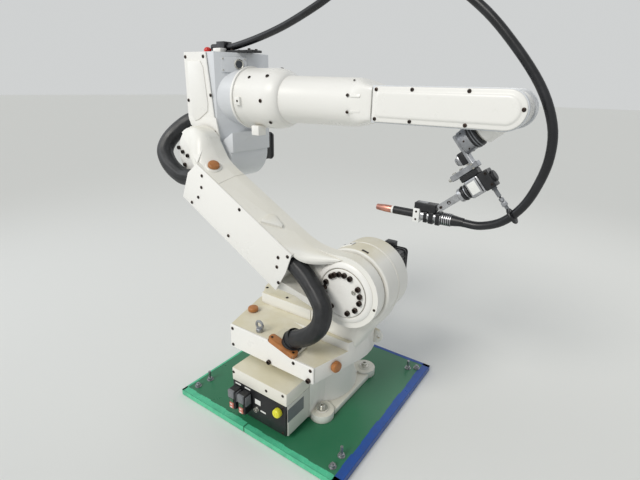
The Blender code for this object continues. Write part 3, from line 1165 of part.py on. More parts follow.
def main():
    clear_scene()
    root = empty("root", (0, 0, 0))
    j1 = empty("j1", (0, 0, SWIVEL_BOTTOM), root)
    world1 = empty("j1_frame", (0, 0, -SWIVEL_BOTTOM), j1)
    build_base(root)
    build_swivel(world1)
    j2 = empty("j2", (J2_X, 0, J2_Z), world1, (0, -ARM_LEAN, 0))
    build_lower_arm(j2)
    j3 = empty("j3", (0, 0, ARM_LENGTH), j2, (0, ARM_LEAN, 0))
    build_elbow(j3)
    j4 = empty("j4", (FOREARM_LENGTH, 0, ELBOW_RISE), j3)
    build_forearm(j4)
    j5 = empty("j5", (0, 0, 0), j4, (0, 90 + WRIST_DROOP, 0))
    build_wrist(j5)
    j6 = empty("j6", (0, 0, 0), j5, (0, 0, 180))
    build_tool(j6)
    build_conduits(world1)
    build_torch_cable(world1)


main()
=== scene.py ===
# %% [markdown]
# # A six-axis welding robot in Blender
# The object is a long-reach welding robot bolted to a green steel plate. Its castings are in a CAD
# frame already, with their places and joints. This lesson dresses that frame with paint, screws,
# hoses, tape and small fittings. They could be modelled from nothing, but fitted to the frame they
# keep its true sizes and move with its joints.

import math

import bmesh
import bpy
from mathutils import Matrix, Vector


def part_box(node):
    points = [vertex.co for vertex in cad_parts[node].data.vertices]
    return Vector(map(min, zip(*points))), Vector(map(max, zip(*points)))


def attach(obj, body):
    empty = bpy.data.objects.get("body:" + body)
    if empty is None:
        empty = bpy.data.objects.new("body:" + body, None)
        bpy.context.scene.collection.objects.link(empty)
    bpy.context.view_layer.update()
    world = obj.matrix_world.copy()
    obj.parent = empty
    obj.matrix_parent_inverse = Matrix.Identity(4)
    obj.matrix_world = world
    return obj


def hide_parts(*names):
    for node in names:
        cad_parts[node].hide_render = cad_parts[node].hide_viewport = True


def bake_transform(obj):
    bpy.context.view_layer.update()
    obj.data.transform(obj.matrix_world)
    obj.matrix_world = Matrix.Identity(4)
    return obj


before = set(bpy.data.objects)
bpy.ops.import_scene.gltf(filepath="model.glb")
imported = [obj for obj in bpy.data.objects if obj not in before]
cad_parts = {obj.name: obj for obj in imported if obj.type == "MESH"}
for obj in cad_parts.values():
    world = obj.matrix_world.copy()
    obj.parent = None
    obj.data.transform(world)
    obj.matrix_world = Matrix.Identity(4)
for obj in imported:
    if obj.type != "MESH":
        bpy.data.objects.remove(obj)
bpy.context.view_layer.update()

# %% [markdown]
# ## Measures and frames
# The lower arm leans and the hand points down and back, so few of their edges run along the world's
# axes. Everything could be measured in world places, but a workshop drawing has a frame for each
# part, and so has this script. The lower arm is measured across, in depth and along. The hand is
# measured beside, towards the viewer and along its pointing direction.

# %% Frames of the robot
RIGHT, BACK, UP = Vector((1, 0, 0)), Vector((0, 1, 0)), Vector((0, 0, 1))
FRONT = -BACK
ARM_LENGTH = 0.758
ARM_LEAN = math.radians(60.5)
DROOP = math.radians(140)


def frame_of(origin, x_axis, y_axis, z_axis):
    """Matrix of a drawing frame with its origin and three directions."""
    turn = Matrix((x_axis, y_axis, z_axis)).transposed().to_4x4()
    return Matrix.Translation(origin) @ turn


WORLD = Matrix.Identity(4)
SHOULDER = Vector((0.230, 0.0, 0.552))
ALONG = Vector((-math.sin(ARM_LEAN), 0, math.cos(ARM_LEAN)))
ACROSS = Vector((math.cos(ARM_LEAN), 0, math.sin(ARM_LEAN)))
ARM = frame_of(SHOULDER, ACROSS, BACK, ALONG)
ELBOW = Matrix.Translation(SHOULDER + ALONG * ARM_LENGTH)
FOREARM = Matrix.Translation(ELBOW.translation + Vector((1.040, 0, 0.200)))
HAND = Vector((math.cos(DROOP), 0, -math.sin(DROOP)))
HAND_SIDE = Vector((math.sin(DROOP), 0, math.cos(DROOP)))
TOOL = frame_of(FOREARM.translation, HAND_SIDE, FRONT, HAND)
TORCH = frame_of(TOOL @ Vector((0.129, 0, 0.343)), -UP, FRONT, -RIGHT)
print("elbow", ELBOW.translation, "wrist", FOREARM.translation, "torch", TORCH.translation)

# %% [markdown]
# ## Camera
# The view looks down on the robot from the front right through a wide lens. A camera could be placed
# by eye, but this one was solved from the edges of the plate, the cable box and the forearm. It comes
# first, because every piece is judged through it.

# %% Camera
YAW, PITCH, ROLL = (math.radians(angle) for angle in (34.4447, 19.7563, -1.3215))
look = Vector((-math.sin(YAW) * math.cos(PITCH), math.cos(YAW) * math.cos(PITCH), -math.sin(PITCH)))
level = look.cross(UP).normalized()
down = look.cross(level)
camera_right = level * math.cos(ROLL) + down * math.sin(ROLL)
camera_down = down * math.cos(ROLL) - level * math.sin(ROLL)
camera_data = bpy.data.cameras.new("camera")
camera_data.lens = 24.04
camera_data.sensor_width = 36.0
camera = bpy.data.objects.new("camera", camera_data)
bpy.context.scene.collection.objects.link(camera)
camera.matrix_world = frame_of((0.8589, -1.2181, 1.1699), camera_right, -camera_down, -look)
bpy.context.scene.camera = camera
print("camera at", camera.location)

# %% [markdown]
# ## Node helpers
# A finish is a small network of nodes. It could be wired by hand in the editor. Here `add` puts one
# node in the tree and `feed` sets or joins its inputs, so that a finish reads as a few lines. Colours
# are sRGB hex values, as on a paint card, and are turned linear in one place.


# %% Node helpers
def linear(text):
    """Linear RGBA of an sRGB colour such as #D8D6C8."""
    values = [int(text[i:i + 2], 16) / 255 for i in (1, 3, 5)]
    return (*(v / 12.92 if v <= 0.04045 else ((v + 0.055) / 1.055) ** 2.4 for v in values), 1.0)


def feed(tree, node, **links):
    """Set or join a node's inputs, named with _ for a space or numbered i0, i1."""
    for key, value in links.items():
        socket = node.inputs[int(key[1:])] if key[1:].isdigit() else node.inputs[key.replace("_", " ")]
        if isinstance(value, bpy.types.Node):
            value = value.outputs[0]
        if isinstance(value, bpy.types.NodeSocket):
            tree.links.new(value, socket)
        else:
            socket.default_value = value
    return node


def add(tree, kind, settings=None, **links):
    """Add a node with its settings and inputs."""
    node = tree.nodes.new("ShaderNode" + kind)
    for key, value in (settings or {}).items():
        setattr(node, key, value)
    return feed(tree, node, **links)


def start_material(name):
    """New material, its tree, its main shader and its texture coordinates in metres."""
    mat = bpy.data.materials.new(name)
    mat.use_nodes = True
    tree = mat.node_tree
    return mat, tree, tree.nodes["Principled BSDF"], add(tree, "TexCoord")


print("node helpers ready")

# %% [markdown]
# ## Enamel
# The castings are sprayed with two-part enamel: smooth, half glossy, with a faint orange peel. One
# plain colour would look like plastic. So clouds and specks vary the tone, ambient occlusion finds
# the corners and darkens them as painted shade, and dust lies on faces that look up. The dust reads
# the object's own normal and stays on the same faces when the arm moves.

# %% Enamel
# Sizes of the patterns in millimetres; a noise node's scale is how many go into a metre.
# Real orange peel is under 1 mm wide. It is drawn wider, so that it shows at all.
CLOUD_MM, SPECK_MM, PEEL_MM = 143, 16.7, 2.38
TIMES = {"operation": "MULTIPLY"}


def enamel(name, colour, grime_and_shade, rough=0.33, corner_shade=0.5, dust=0.0, dust_colour="#CFC6A6", peel=0.05):
    """Sprayed enamel with painted shade in the corners and dust on the faces that look up."""
    mat, tree, shader, place = start_material(name)
    here = place.outputs["Object"]
    cloud = add(tree, "TexNoise", Vector=here, Scale=1000 / CLOUD_MM, Detail=6.0, Roughness=0.6)
    speck = add(tree, "TexNoise", Vector=here, Scale=1000 / SPECK_MM, Detail=5.0, Roughness=0.65)
    pores = add(tree, "TexNoise", Vector=here, Scale=1000 / PEEL_MM, Detail=2.0, Roughness=0.55)
    clear = add(tree, "AmbientOcclusion", {"samples": 8}, Distance=0.02).outputs["AO"]
    upward = add(tree, "SeparateXYZ", Vector=place.outputs["Normal"]).outputs["Z"]
    # Painted shade: this mask grows where ambient occlusion finds a corner or a crease.
    corner = add(tree, "MapRange", Value=clear, From_Min=0.30, From_Max=0.85, To_Min=1.0, To_Max=0.0)
    patchy = add(tree, "MapRange", Value=cloud, From_Min=0.38, From_Max=0.62, To_Min=0.35, To_Max=1.0)
    spots = add(tree, "MapRange", Value=speck, From_Min=0.62, From_Max=0.80, To_Min=0.0, To_Max=0.12)
    flat = add(tree, "MapRange", Value=upward, From_Min=0.75, From_Max=0.95, To_Min=0.0, To_Max=dust)
    uneven = add(tree, "MapRange", Value=cloud, From_Min=0.30, From_Max=0.60, To_Min=0.55, To_Max=1.0)
    gloss = add(tree, "MapRange", Value=cloud, From_Min=0.3, From_Max=0.7, To_Min=rough - 0.05,
                To_Max=rough + 0.10)
    settled = add(tree, "Math", TIMES, i0=flat, i1=uneven)
    shaded_corners = add(tree, "Math", TIMES, i0=corner, i1=patchy)
    shaded_corners = add(tree, "Math", TIMES, i0=shaded_corners, i1=corner_shade)
    tone = add(tree, "MixRGB", Fac=spots, Color1=linear(colour), Color2=linear(grime_and_shade))
    tone = add(tree, "MixRGB", Fac=settled, Color1=tone, Color2=linear(dust_colour))
    # Painted shade: corners and creases darken towards the grime colour, in patches.
    tone = add(tree, "MixRGB", Fac=shaded_corners, Color1=tone, Color2=linear(grime_and_shade))
    relief = add(tree, "Bump", Strength=peel, Distance=0.001, Height=pores)
    feed(tree, shader, Base_Color=tone, Roughness=gloss, IOR=1.5, Normal=relief)
    return mat


print("enamel function ready")

# %% [markdown]
# ## Enamel colours
# The robot is cream all over at first sight, but its faces differ: covers are whiter, the elbow is
# cooler, its grey the painted cool light and shade of its turned faces, level faces are yellow with
# dust. One material could serve all of them. Seven calls of the same function are hardly longer and
# keep the differences.

# %% Enamel colours
# Cast iron under sprayed cream enamel: half gloss, a warm white with soft highlights.
CREAM = enamel("cream_enamel", "#EDECE6", "#9C937F", dust=0.35)
# Machined and sheet covers in the same enamel: smoother, so whiter and a little glossier.
COVER_CREAM = enamel("cover_enamel", "#F2F1ED", "#A9A08C", 0.30, 0.4, 0.10)
# Enamel on wide level faces: yellow dust dulls whatever looks up.
SWIVEL_CREAM = enamel("swivel_enamel", "#E9E8E2", "#958A70", 0.36, 0.6, 0.85)
# Enamel on the low, level sheet lid: the dullest and dustiest of all.
LID_CREAM = enamel("lid_enamel", "#E6E4DA", "#958A70", 0.40, 0.5, 0.95, "#CFC8AC")
# A greyer, bluer copy of the cream enamel on the elbow and wrist castings: the cool light and shade on their
# faces, painted into the colour.
SHADED_CREAM = enamel("cream_with_painted_cool_shade", "#DADDE1", "#8F9498", 0.32, 0.4, 0.10, "#D5D3C8")
# Thin enamel on folded sheet steel: greyer and duller than on the castings.
BOX_GREY = enamel("cable_box_enamel", "#D6D6CE", "#87857A", 0.40, 0.5, 0.3)
# Thick floor paint rolled on steel: deep green, glossy, with twice the relief.
FLOOR_GREEN = enamel("green_floor_paint", "#1D6B47", "#3E4F40", 0.30, 0.35, 0.35, "#3F7A5B", 0.10)
print("enamels", len(bpy.data.materials))

# %% [markdown]
# ## Metal
# Ground steel has a stretched grain, zinc plate and blasted aluminium an even one. An image could
# show it, but noise stretched along one axis gives the same streaks at any size. A metal gets its
# colour from what it reflects, so the shader is fully metallic with a typical roughness.

# %% Metal
# The even grain, 5 mm wide, is coarser than the real one, so that it shows.
BLOTCH_MM = 22.2


def metal(name, colour, stain, rough, grain=(5.0, 5.0, 5.0), bump=0.04):
    """Bare or plated metal; its grain is given in millimetres along X, Y and Z."""
    mat, tree, shader, place = start_material(name)
    here = place.outputs["Object"]
    counts = [1000 / size for size in grain]
    stretched = add(tree, "VectorMath", TIMES, i0=here, i1=counts)
    lines = add(tree, "TexNoise", Vector=stretched, Scale=1.0, Detail=3.0, Roughness=0.55)
    blotch = add(tree, "TexNoise", Vector=here, Scale=1000 / BLOTCH_MM, Detail=4.0, Roughness=0.55)
    stained = add(tree, "MapRange", Value=blotch, From_Min=0.42, From_Max=0.72, To_Min=0.0, To_Max=0.8)
    gloss = add(tree, "MapRange", Value=lines, From_Min=0.3, From_Max=0.7, To_Min=rough - 0.07,
                To_Max=rough + 0.12)
    tone = add(tree, "MixRGB", Fac=stained, Color1=linear(colour), Color2=linear(stain))
    relief = add(tree, "Bump", Strength=bump, Distance=0.001, Height=lines)
    feed(tree, shader, Base_Color=tone, Metallic=1.0, Roughness=gloss, Normal=relief)
    return mat


print("metal function ready")

# %% [markdown]
# ## Metals of the robot
# The hand is machined steel and blasted aluminium, the bolts of the base are plated and most screws
# are oiled. They could share one grey, but side by side in the hand they are told apart by tone and
# gloss alone.

# %% Metals of the robot
# Ground steel: bright, with grinding marks 2 mm wide. Real ones are finer than a pixel.
STEEL = metal("machined_steel", "#C3C4C7", "#8C8D90", 0.27, (16.7, 2.0, 2.0))
# Blasted aluminium: an even satin that never mirrors.
SATIN_GREY = metal("satin_aluminium", "#A9ABAF", "#85878B", 0.40)
# Zinc-plated steel: pale and slightly blotchy.
ZINC = metal("zinc_plate", "#CFCEC8", "#8E8B82", 0.34)
# Oiled black steel: nearly black, with a brown tinge where the oil has gone. On the torch clamp it also
# paints the shade of two holes.
BLACK_STEEL_AND_HOLE_SHADE = metal("oiled_black_steel_and_hole_shade", "#3A3634", "#5B4A42", 0.42)
# Copper dulled by heat: pink rather than orange.
COPPER = metal("copper_nozzle", "#D49A8A", "#9A6E66", 0.36)
print("metals ready")

# %% [markdown]
# ## Plastic and rubber
# Moulded parts are matt, with a colour that drifts a little towards dust or wear and a fine grain
# from the mould. Paint on the mesh could show that for each part. One function with a few measures
# gives the same for all of them.

# %% Plastic
WEAR_MM = 35.7


def plastic(name, colour, dust, rough, amount=0.15, grain=3.33, bump=0.04):
    """Moulded plastic or rubber; the mould's grain is in millimetres, coarse enough to show."""
    mat, tree, shader, place = start_material(name)
    here = place.outputs["Object"]
    cloud = add(tree, "TexNoise", Vector=here, Scale=1000 / WEAR_MM, Detail=5.0, Roughness=0.55)
    mould = add(tree, "TexNoise", Vector=here, Scale=1000 / grain, Detail=2.0, Roughness=0.55)
    worn = add(tree, "MapRange", Value=cloud, From_Min=0.45, From_Max=0.75, To_Min=0.0, To_Max=amount)
    gloss = add(tree, "MapRange", Value=cloud, From_Min=0.3, From_Max=0.7, To_Min=rough - 0.05,
                To_Max=rough + 0.10)
    tone = add(tree, "MixRGB", Fac=worn, Color1=linear(colour), Color2=linear(dust))
    relief = add(tree, "Bump", Strength=bump, Distance=0.001, Height=mould)
    feed(tree, shader, Base_Color=tone, Roughness=gloss, IOR=1.48, Normal=relief)
    return mat


print("plastic function ready")

# %% [markdown]
# ## Plastics of the robot
# Black motors and plugs, grey latches, orange stops, a yellow cap, a red lens and vinyl tape are the
# spots of colour on a cream machine. Their colours are written as flat daylight would show them, and
# only gloss and grain are left to the light, except the sight glass, whose dark is the painted shade
# of the hole behind it.

# %% Plastics of the robot
# Black ABS and painted motor housings: dark with a wide, weak highlight.
BLACK = plastic("moulded_black", "#1A1B1E", "#4E4F52", 0.38)
# Black laminate of the connector panel: flatter and duller still.
PANEL_BLACK = plastic("panel_black", "#17181A", "#46474A", 0.42)
# Grey nylon latches: a plain mid grey.
GREY_PLASTIC = plastic("latch_grey", "#75787C", "#4E5053", 0.42)
# Coding blocks of moulded nylon, one pink and one green: faded colours.
PINK_PLASTIC = plastic("plug_pink", "#D98C7C", "#A8675B", 0.45, 0.4)
GREEN_PLASTIC = plastic("plug_green", "#3F6B4E", "#2F4C39", 0.45, 0.4)
# Cast urethane stops: orange brown, blotched by oil.
RUBBER = plastic("stop_urethane", "#B07440", "#7C4A24", 0.42, 0.7, 4.55, 0.10)
# Yellow polyethylene cap: waxy and bright.
YELLOW = plastic("yellow_cap", "#E3DF3A", "#B9B235", 0.35, 0.3)
# White moulded plastic and blank labels: the cleanest white here.
WHITE_PLASTIC = plastic("white_plastic", "#EDEEEC", "#C8C6BC", 0.40, 0.3)
# Red polycarbonate lens: very smooth, so one sharp highlight.
RED_LENS = plastic("red_lens", "#D2281E", "#8E1812", 0.14, 0.2)
# Glass over a hole: the hole's shade is painted in as a dark, mirror-smooth colour.
SHADED_SIGHT_GLASS = plastic("sight_glass_hole_shade", "#3C4148", "#1B1E22", 0.08, 0.4, 25.0, 0.0)
# Vinyl tape: glossy, with wrinkles about 11 mm apart.
MINT_TAPE = plastic("mint_tape", "#58C79A", "#3E8F72", 0.28, 0.5, 11.1, 0.25)
BLUE_TAPE = plastic("blue_tape", "#1F4E9E", "#2C4674", 0.32, 0.5, 11.1, 0.20)
print("materials", len(bpy.data.materials))

# %% [markdown]
# ## Hose covering
# The conduits wear a cloth sleeve with soft lengthwise folds, and the torch cable has a rubber skin.
# A pattern in object space would slide off at the bends. The hoses have a coordinate of their own,
# round and along, so that the folds follow every bend.

# %% Hose covering
SOIL_MM = 45.5
BAND = math.tau / 20


def hose(name, colour, dust, radius, fold, rough, bump):
    """Hose covering; its radius is in metres, the distance between folds in millimetres."""
    mat, tree, shader, place = start_material(name)
    # At scale 1 the wave node has a band every tau / 20 of the way round.
    folds = math.tau * radius * 1000 / fold
    wave = add(tree, "TexWave", {"bands_direction": "X"}, Vector=add(tree, "UVMap", {"uv_map": "wrap"}),
               Scale=folds * BAND, Distortion=2.5, Detail=3.0, Detail_Scale=1.5).outputs["Fac"]
    cloud = add(tree, "TexNoise", Vector=place.outputs["Object"], Scale=1000 / SOIL_MM, Detail=6.0,
                Roughness=0.65)
    soiled = add(tree, "MapRange", Value=cloud, From_Min=0.45, From_Max=0.75, To_Min=0.0, To_Max=0.45)
    gloss = add(tree, "MapRange", Value=cloud, From_Min=0.3, From_Max=0.7, To_Min=rough - 0.07,
                To_Max=rough + 0.10)
    tone = add(tree, "MixRGB", Fac=soiled, Color1=linear(colour), Color2=linear(dust))
    relief = add(tree, "Bump", Strength=bump, Distance=0.002, Height=wave)
    feed(tree, shader, Base_Color=tone, Roughness=gloss, Normal=relief)
    return mat


print("hose covering ready")

# %% [markdown]
# ## Hose colours
# Both hoses are black, but the sleeve is dull and the rubber has a long thin highlight. That needs no
# second function, only another roughness and another fold.

# %% Hose colours
CONDUIT_RADIUS, CABLE_RADIUS = 0.031, 0.012
# Rubberised cloth sleeve: soft lengthwise folds and a dull sheen.
CONDUIT_BLACK = hose("conduit_sleeve", "#1A1B1D", "#3E3F43", CONDUIT_RADIUS, 20.4, 0.46, 0.40)
# Smooth rubber: tighter and glossier, with hardly any folds.
CABLE_BLACK = hose("torch_cable_rubber", "#151619", "#33343A", CABLE_RADIUS, 23.7, 0.30, 0.12)
print("hose coverings ready")

# %% [markdown]
# ## Smooth routes
# A hose hangs in long soft curves through a few points. A curve object could draw them, but a list
# of points from a Catmull-Rom spline can be cut into stretches at the joints, as the torch cable
# needs.


# %% Smooth routes
def smooth_route(knots, per_span):
    """Catmull-Rom points through the knots."""
    knots = [Vector(knot) for knot in knots]
    ends = [knots[0] * 2 - knots[1]] + knots + [knots[-1] * 2 - knots[-2]]
    points = []
    for a, b, c, d in zip(ends, ends[1:], ends[2:], ends[3:]):
        for step in range(per_span):
            t = step / per_span
            points.append(0.5 * ((2 * b) + (c - a) * t + (2 * a - 5 * b + 4 * c - d) * t * t
                                 + (3 * b - a - 3 * c + d) * t * t * t))
    points.append(knots[-1])
    return points


print("route function ready")

# %% [markdown]
# ## Finished pieces
# Every piece ends in the same way: normals that look out, smooth faces, sharp edges where faces meet
# at an angle, a material, and, when one is given, the CAD body that carries it. A modifier could find
# the sharp edges, but marks in the mesh leave nothing live.


# %% Finished pieces
def show(name, bm, mats, body=None, smooth=35.0):
    """Turn a bmesh into a shaded object that rides on a CAD body when one is given."""
    bmesh.ops.recalc_face_normals(bm, faces=bm.faces)
    for face in bm.faces:
        face.smooth = True
    for edge in bm.edges:
        edge.smooth = len(edge.link_faces) == 2 and edge.calc_face_angle(0.0) < math.radians(smooth)
    mesh = bpy.data.meshes.new(name)
    bm.to_mesh(mesh)
    bm.free()
    for mat in mats if isinstance(mats, (list, tuple)) else [mats]:
        mesh.materials.append(mat)
    obj = bpy.data.objects.new(name, mesh)
    bpy.context.scene.collection.objects.link(obj)
    if body:
        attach(obj, body)
    print(name, len(mesh.polygons), "faces on", body or "two bodies")
    return obj


print("show function ready")

# %% [markdown]
# ## Sweeping a hose
# A round section is carried along the route. It turns only as much as the route bends, so that it
# doesn't twist. A bevelled curve could do it, but the rings made here also carry the coordinate that
# the covering reads.


# %% Sweep
def sweep(name, points, radius, mat, count=28):
    """Tube along the points with a wrap coordinate, round and along."""
    bm = bmesh.new()
    wrap = bm.loops.layers.uv.new("wrap")
    across = Vector((0, 1, 0))
    rows, lengths, travelled = [], [], 0.0
    for i, point in enumerate(points):
        ahead = (points[min(i + 1, len(points) - 1)] - points[max(i - 1, 0)]).normalized()
        across = (across - ahead * across.dot(ahead)).normalized()
        other = ahead.cross(across)
        turns = [math.tau * k / count for k in range(count)]
        rows.append([bm.verts.new(point + (across * math.cos(turn) + other * math.sin(turn)) * radius)
                     for turn in turns])
        travelled += (point - points[i - 1]).length if i else 0.0
        lengths.append(travelled / (math.tau * radius))
    for i in range(len(rows) - 1):
        for k in range(count):
            near, far = rows[i], rows[i + 1]
            face = bm.faces.new((near[k], near[(k + 1) % count], far[(k + 1) % count], far[k]))
            for loop, (around, row) in zip(face.loops, ((k, i), (k + 1, i), (k + 1, i + 1), (k, i + 1))):
                loop[wrap].uv = (around / count, lengths[row])
    bm.faces.new(rows[0][::-1])
    bm.faces.new(rows[-1])
    return show(name, bm, mat)


print("hose helpers ready")

# %% [markdown]
# ## Lower conduit
# It leads from the gland on the turning body over the shoulder into the duct of the lower arm. It
# could ride on one body, but the real one bends when the arm leans, so it is attached to none.

# %% Lower conduit
shoulder_knots = [(0.0692, -0.2210, 0.3426), (0.0776, -0.2210, 0.3538), (0.1000, -0.2290, 0.3670),
                  (0.1310, -0.2370, 0.3870), (0.1650, -0.2400, 0.4150), (0.1940, -0.2400, 0.4550),
                  (0.2030, -0.2380, 0.5000), (0.1879, -0.2300, 0.5345), (0.1259, -0.2100, 0.5833),
                  (0.0528, -0.1950, 0.6247), (0.0128, -0.1950, 0.6473)]
lower_conduit = sweep("lower_conduit", smooth_route(shoulder_knots, 6), CONDUIT_RADIUS, CONDUIT_BLACK, 40)
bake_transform(lower_conduit)
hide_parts("shoulder_conduit")

# %% [markdown]
# ## Upper conduit
# It leaves the duct, hangs out behind the elbow in a loop and enters the elbow from behind. The loop
# is the spare length that the elbow's turn needs. A shorter route would look tidy, but it would be
# stretched at the first move.

# %% Upper conduit
elbow_knots = [(-0.3650, -0.1950, 0.8082), (-0.4050, -0.1950, 0.8308), (-0.4287, -0.1950, 0.8403),
               (-0.4777, -0.1980, 0.8413), (-0.5497, -0.1920, 0.8723), (-0.6037, -0.1720, 0.9143),
               (-0.6107, -0.1480, 0.9533), (-0.5937, -0.1140, 0.9933), (-0.5637, -0.0780, 1.0273),
               (-0.5297, -0.0640, 1.0383), (-0.5077, -0.0640, 1.0383)]
upper_conduit = sweep("upper_conduit", smooth_route(elbow_knots, 6), CONDUIT_RADIUS, CONDUIT_BLACK, 40)
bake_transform(upper_conduit)
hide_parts("elbow_conduit")
print("conduits", len(lower_conduit.data.vertices), len(upper_conduit.data.vertices))

# %% [markdown]
# ## Torch cable
# One stiff rubber cable runs from the torch in a high arch back to a clamp on the elbow. It crosses
# three joints, so the route is cut into three stretches whose ends meet. None is attached to a body.

# %% Torch cable
cable_knots = [(0.4950, 0.8060), (0.5064, 0.8060), (0.5350, 0.8045), (0.5780, 0.8060), (0.6320, 0.8290),
               (0.6760, 0.8780), (0.7030, 0.9420), (0.7170, 1.0160), (0.7080, 1.0950), (0.6640, 1.1860),
               (0.5800, 1.2890), (0.4930, 1.3720), (0.3750, 1.4520), (0.2500, 1.4920), (0.1200, 1.4680),
               (0.0030, 1.4120), (-0.1300, 1.3600), (-0.2500, 1.3260), (-0.3677, 1.3016), (-0.4077, 1.2996),
               (-0.4477, 1.2996), (-0.4877, 1.2996)]
STEPS = 5
cable_route = smooth_route([(x, 0.0, z) for x, z in cable_knots], STEPS)
low_cut, high_cut = 7 * STEPS, 13 * STEPS
stretches = (
    ("torch_cable_hand", cable_route[:low_cut + 1], "wrist", "tool", (0.717, 0, 1.016), (0.66, 0, 0.85)),
    ("torch_cable_wrist", cable_route[low_cut:high_cut + 1], "forearm", "wrist", (0.45, 0, 1.40),
     (0.70, 0, 1.06)),
    ("torch_cable_arm", cable_route[high_cut:], "elbow", "forearm", (-0.30, 0, 1.32), (0.20, 0, 1.48)),
)
cables = []
for name, route, first, second, start, end in stretches:
    cables.append(sweep(name, route, CABLE_RADIUS, CABLE_BLACK, 24))
    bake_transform(cables[-1])
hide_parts("torch_cable")
print("torch cable in", len(cables), "stretches")

# %% [markdown]
# ## Seats
# A screw or a plate sits on a surface. It could be moved and turned by hand. A seat, a frame whose Z
# looks out of that surface, puts it there in one step. The parts of one piece are then joined in one
# mesh, each with its own material number.


# %% Seats
def seat(base, point, normal, up=UP):
    """Frame on a surface: Z along the normal, Y as near to up as can be."""
    turn = base.to_3x3()
    out = (turn @ Vector(normal)).normalized()
    top = turn @ Vector(up)
    top = (top - out * top.dot(out)).normalized()
    return frame_of(base @ Vector(point), top.cross(out), top, out)


def join(bm, part, place, material):
    """Put a finished part in its place, colour it and add it to the mesh being made."""
    bmesh.ops.transform(part, matrix=place, verts=part.verts)
    for face in part.faces:
        face.material_index = material
    mesh = bpy.data.meshes.new("part")
    part.to_mesh(mesh)
    part.free()
    bm.from_mesh(mesh)
    bpy.data.meshes.remove(mesh)


print("seats ready")

# %% [markdown]
# ## Blocks and turned shapes
# Most fittings are milled or turned. A block starts from a cube, and a turned shape from a profile
# that is spun round, as on a lathe. Cylinders and booleans could do it too, but a profile gives
# grooves and rounded rims in one step and leaves a clean mesh.


# %% Blocks and turned shapes
def ease_edges(part, edges, width, segments=2):
    """Round the given edges."""
    bmesh.ops.bevel(part, geom=edges, offset=width, affect="EDGES", segments=segments, profile=0.5,
                    material=-1, clamp_overlap=True)


def block(bm, low, high, place=WORLD, ease=0.0, material=0, segments=2):
    """A box between two corners, with rounded edges."""
    part = bmesh.new()
    bmesh.ops.create_cube(part, size=1.0)
    for vert in part.verts:
        vert.co = Vector([a + (b - a) * (c + 0.5) for a, b, c in zip(low, high, vert.co)])
    if ease:
        ease_edges(part, part.edges[:], ease, segments)
    join(bm, part, place, material)


def turned(bm, profile, place=WORLD, steps=28, material=0):
    """Spin a (radius, height) profile round the local Z axis."""
    part = bmesh.new()
    rim = [part.verts.new((radius, 0, height)) for radius, height in profile]
    edges = [part.edges.new(pair) for pair in zip(rim, rim[1:])]
    bmesh.ops.spin(part, geom=rim + edges, axis=(0, 0, 1), cent=(0, 0, 0), angle=math.tau, steps=steps,
                   use_merge=True)
    bmesh.ops.remove_doubles(part, verts=part.verts[:], dist=0.000001)
    join(bm, part, place, material)


print("blocks and turned shapes ready")

# %% [markdown]
# ## Extrusions and lofts
# Plates are cut from sheet, so an outline is extruded and its upper edge eased. Hoods and covers
# change their section on the way, so rings of points are bridged. Subdivision could round them, but
# rings keep the measured shape.


# %% Extrusions and lofts
def extruded(bm, outline, depth, place=WORLD, ease=0.0, material=0, segments=2):
    """Raise a flat outline along the local Z axis and ease its upper edge."""
    part = bmesh.new()
    base = part.faces.new([part.verts.new((x, y, 0)) for x, y in outline])
    raised = bmesh.ops.extrude_face_region(part, geom=[base])["geom"]
    top = [item for item in raised if isinstance(item, bmesh.types.BMVert)]
    bmesh.ops.translate(part, vec=(0, 0, depth), verts=top)
    if ease:
        ease_edges(part, [edge for edge in part.edges if all(end in top for end in edge.verts)], ease,
                   segments)
    bmesh.ops.holes_fill(part, edges=part.edges[:], sides=0)
    join(bm, part, place, material)


def lofted(bm, rings, place=WORLD, material=0):
    """Bridge rings of points into one closed skin."""
    part = bmesh.new()
    rows = [[part.verts.new(point) for point in ring] for ring in rings]
    loops = [[part.edges.new((row[i], row[(i + 1) % len(row)])) for i in range(len(row))] for row in rows]
    for near, far in zip(loops, loops[1:]):
        bmesh.ops.bridge_loops(part, edges=near + far)
    part.faces.new(rows[0])
    part.faces.new(rows[-1])
    join(bm, part, place, material)


def round_rect(half_x, half_y, radius, centre=(0.0, 0.0), steps=4):
    """Outline of a rectangle with round corners."""
    points = []
    for quarter, (sign_x, sign_y) in enumerate(((1, 1), (-1, 1), (-1, -1), (1, -1))):
        for step in range(steps + 1):
            angle = math.pi / 2 * (quarter + step / steps)
            points.append((centre[0] + sign_x * (half_x - radius) + radius * math.cos(angle),
                           centre[1] + sign_y * (half_y - radius) + radius * math.sin(angle)))
    return points


print("extrusions and lofts ready")

# %% [markdown]
# ## Skins of the castings
# A CAD solid has razor-sharp edges and loose triangles, and a casting has an eased edge that catches
# the light. It could be modelled again, but a cleaned copy with a small bevel keeps its true shape
# and takes its place.


# %% Skins of the castings
def refined(node, mat, body, width, smooth=32.0):
    """A CAD node's own shape with eased edges and smooth shading, in its place."""
    bm = bmesh.new()
    bm.from_mesh(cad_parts[node].data)
    bmesh.ops.remove_doubles(bm, verts=bm.verts, dist=0.00002)
    bmesh.ops.dissolve_limit(bm, angle_limit=math.radians(0.6), verts=bm.verts, edges=bm.edges)
    if width:
        ease_edges(bm, [edge for edge in bm.edges
                        if edge.is_manifold and edge.calc_face_angle(0.0) > math.radians(30)], width)
    obj = show(f"{node}_skin", bm, mat, body, smooth)
    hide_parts(node)
    return obj


print("mesh helpers ready")

# %% [markdown]
# ## Screws
# Cap screws with a hexagon socket hold the gears, low domed screws the covers, and nuts on studs the
# plate. They could be copies of one object. A group of like screws on one body is one mesh here,
# which keeps the model light.


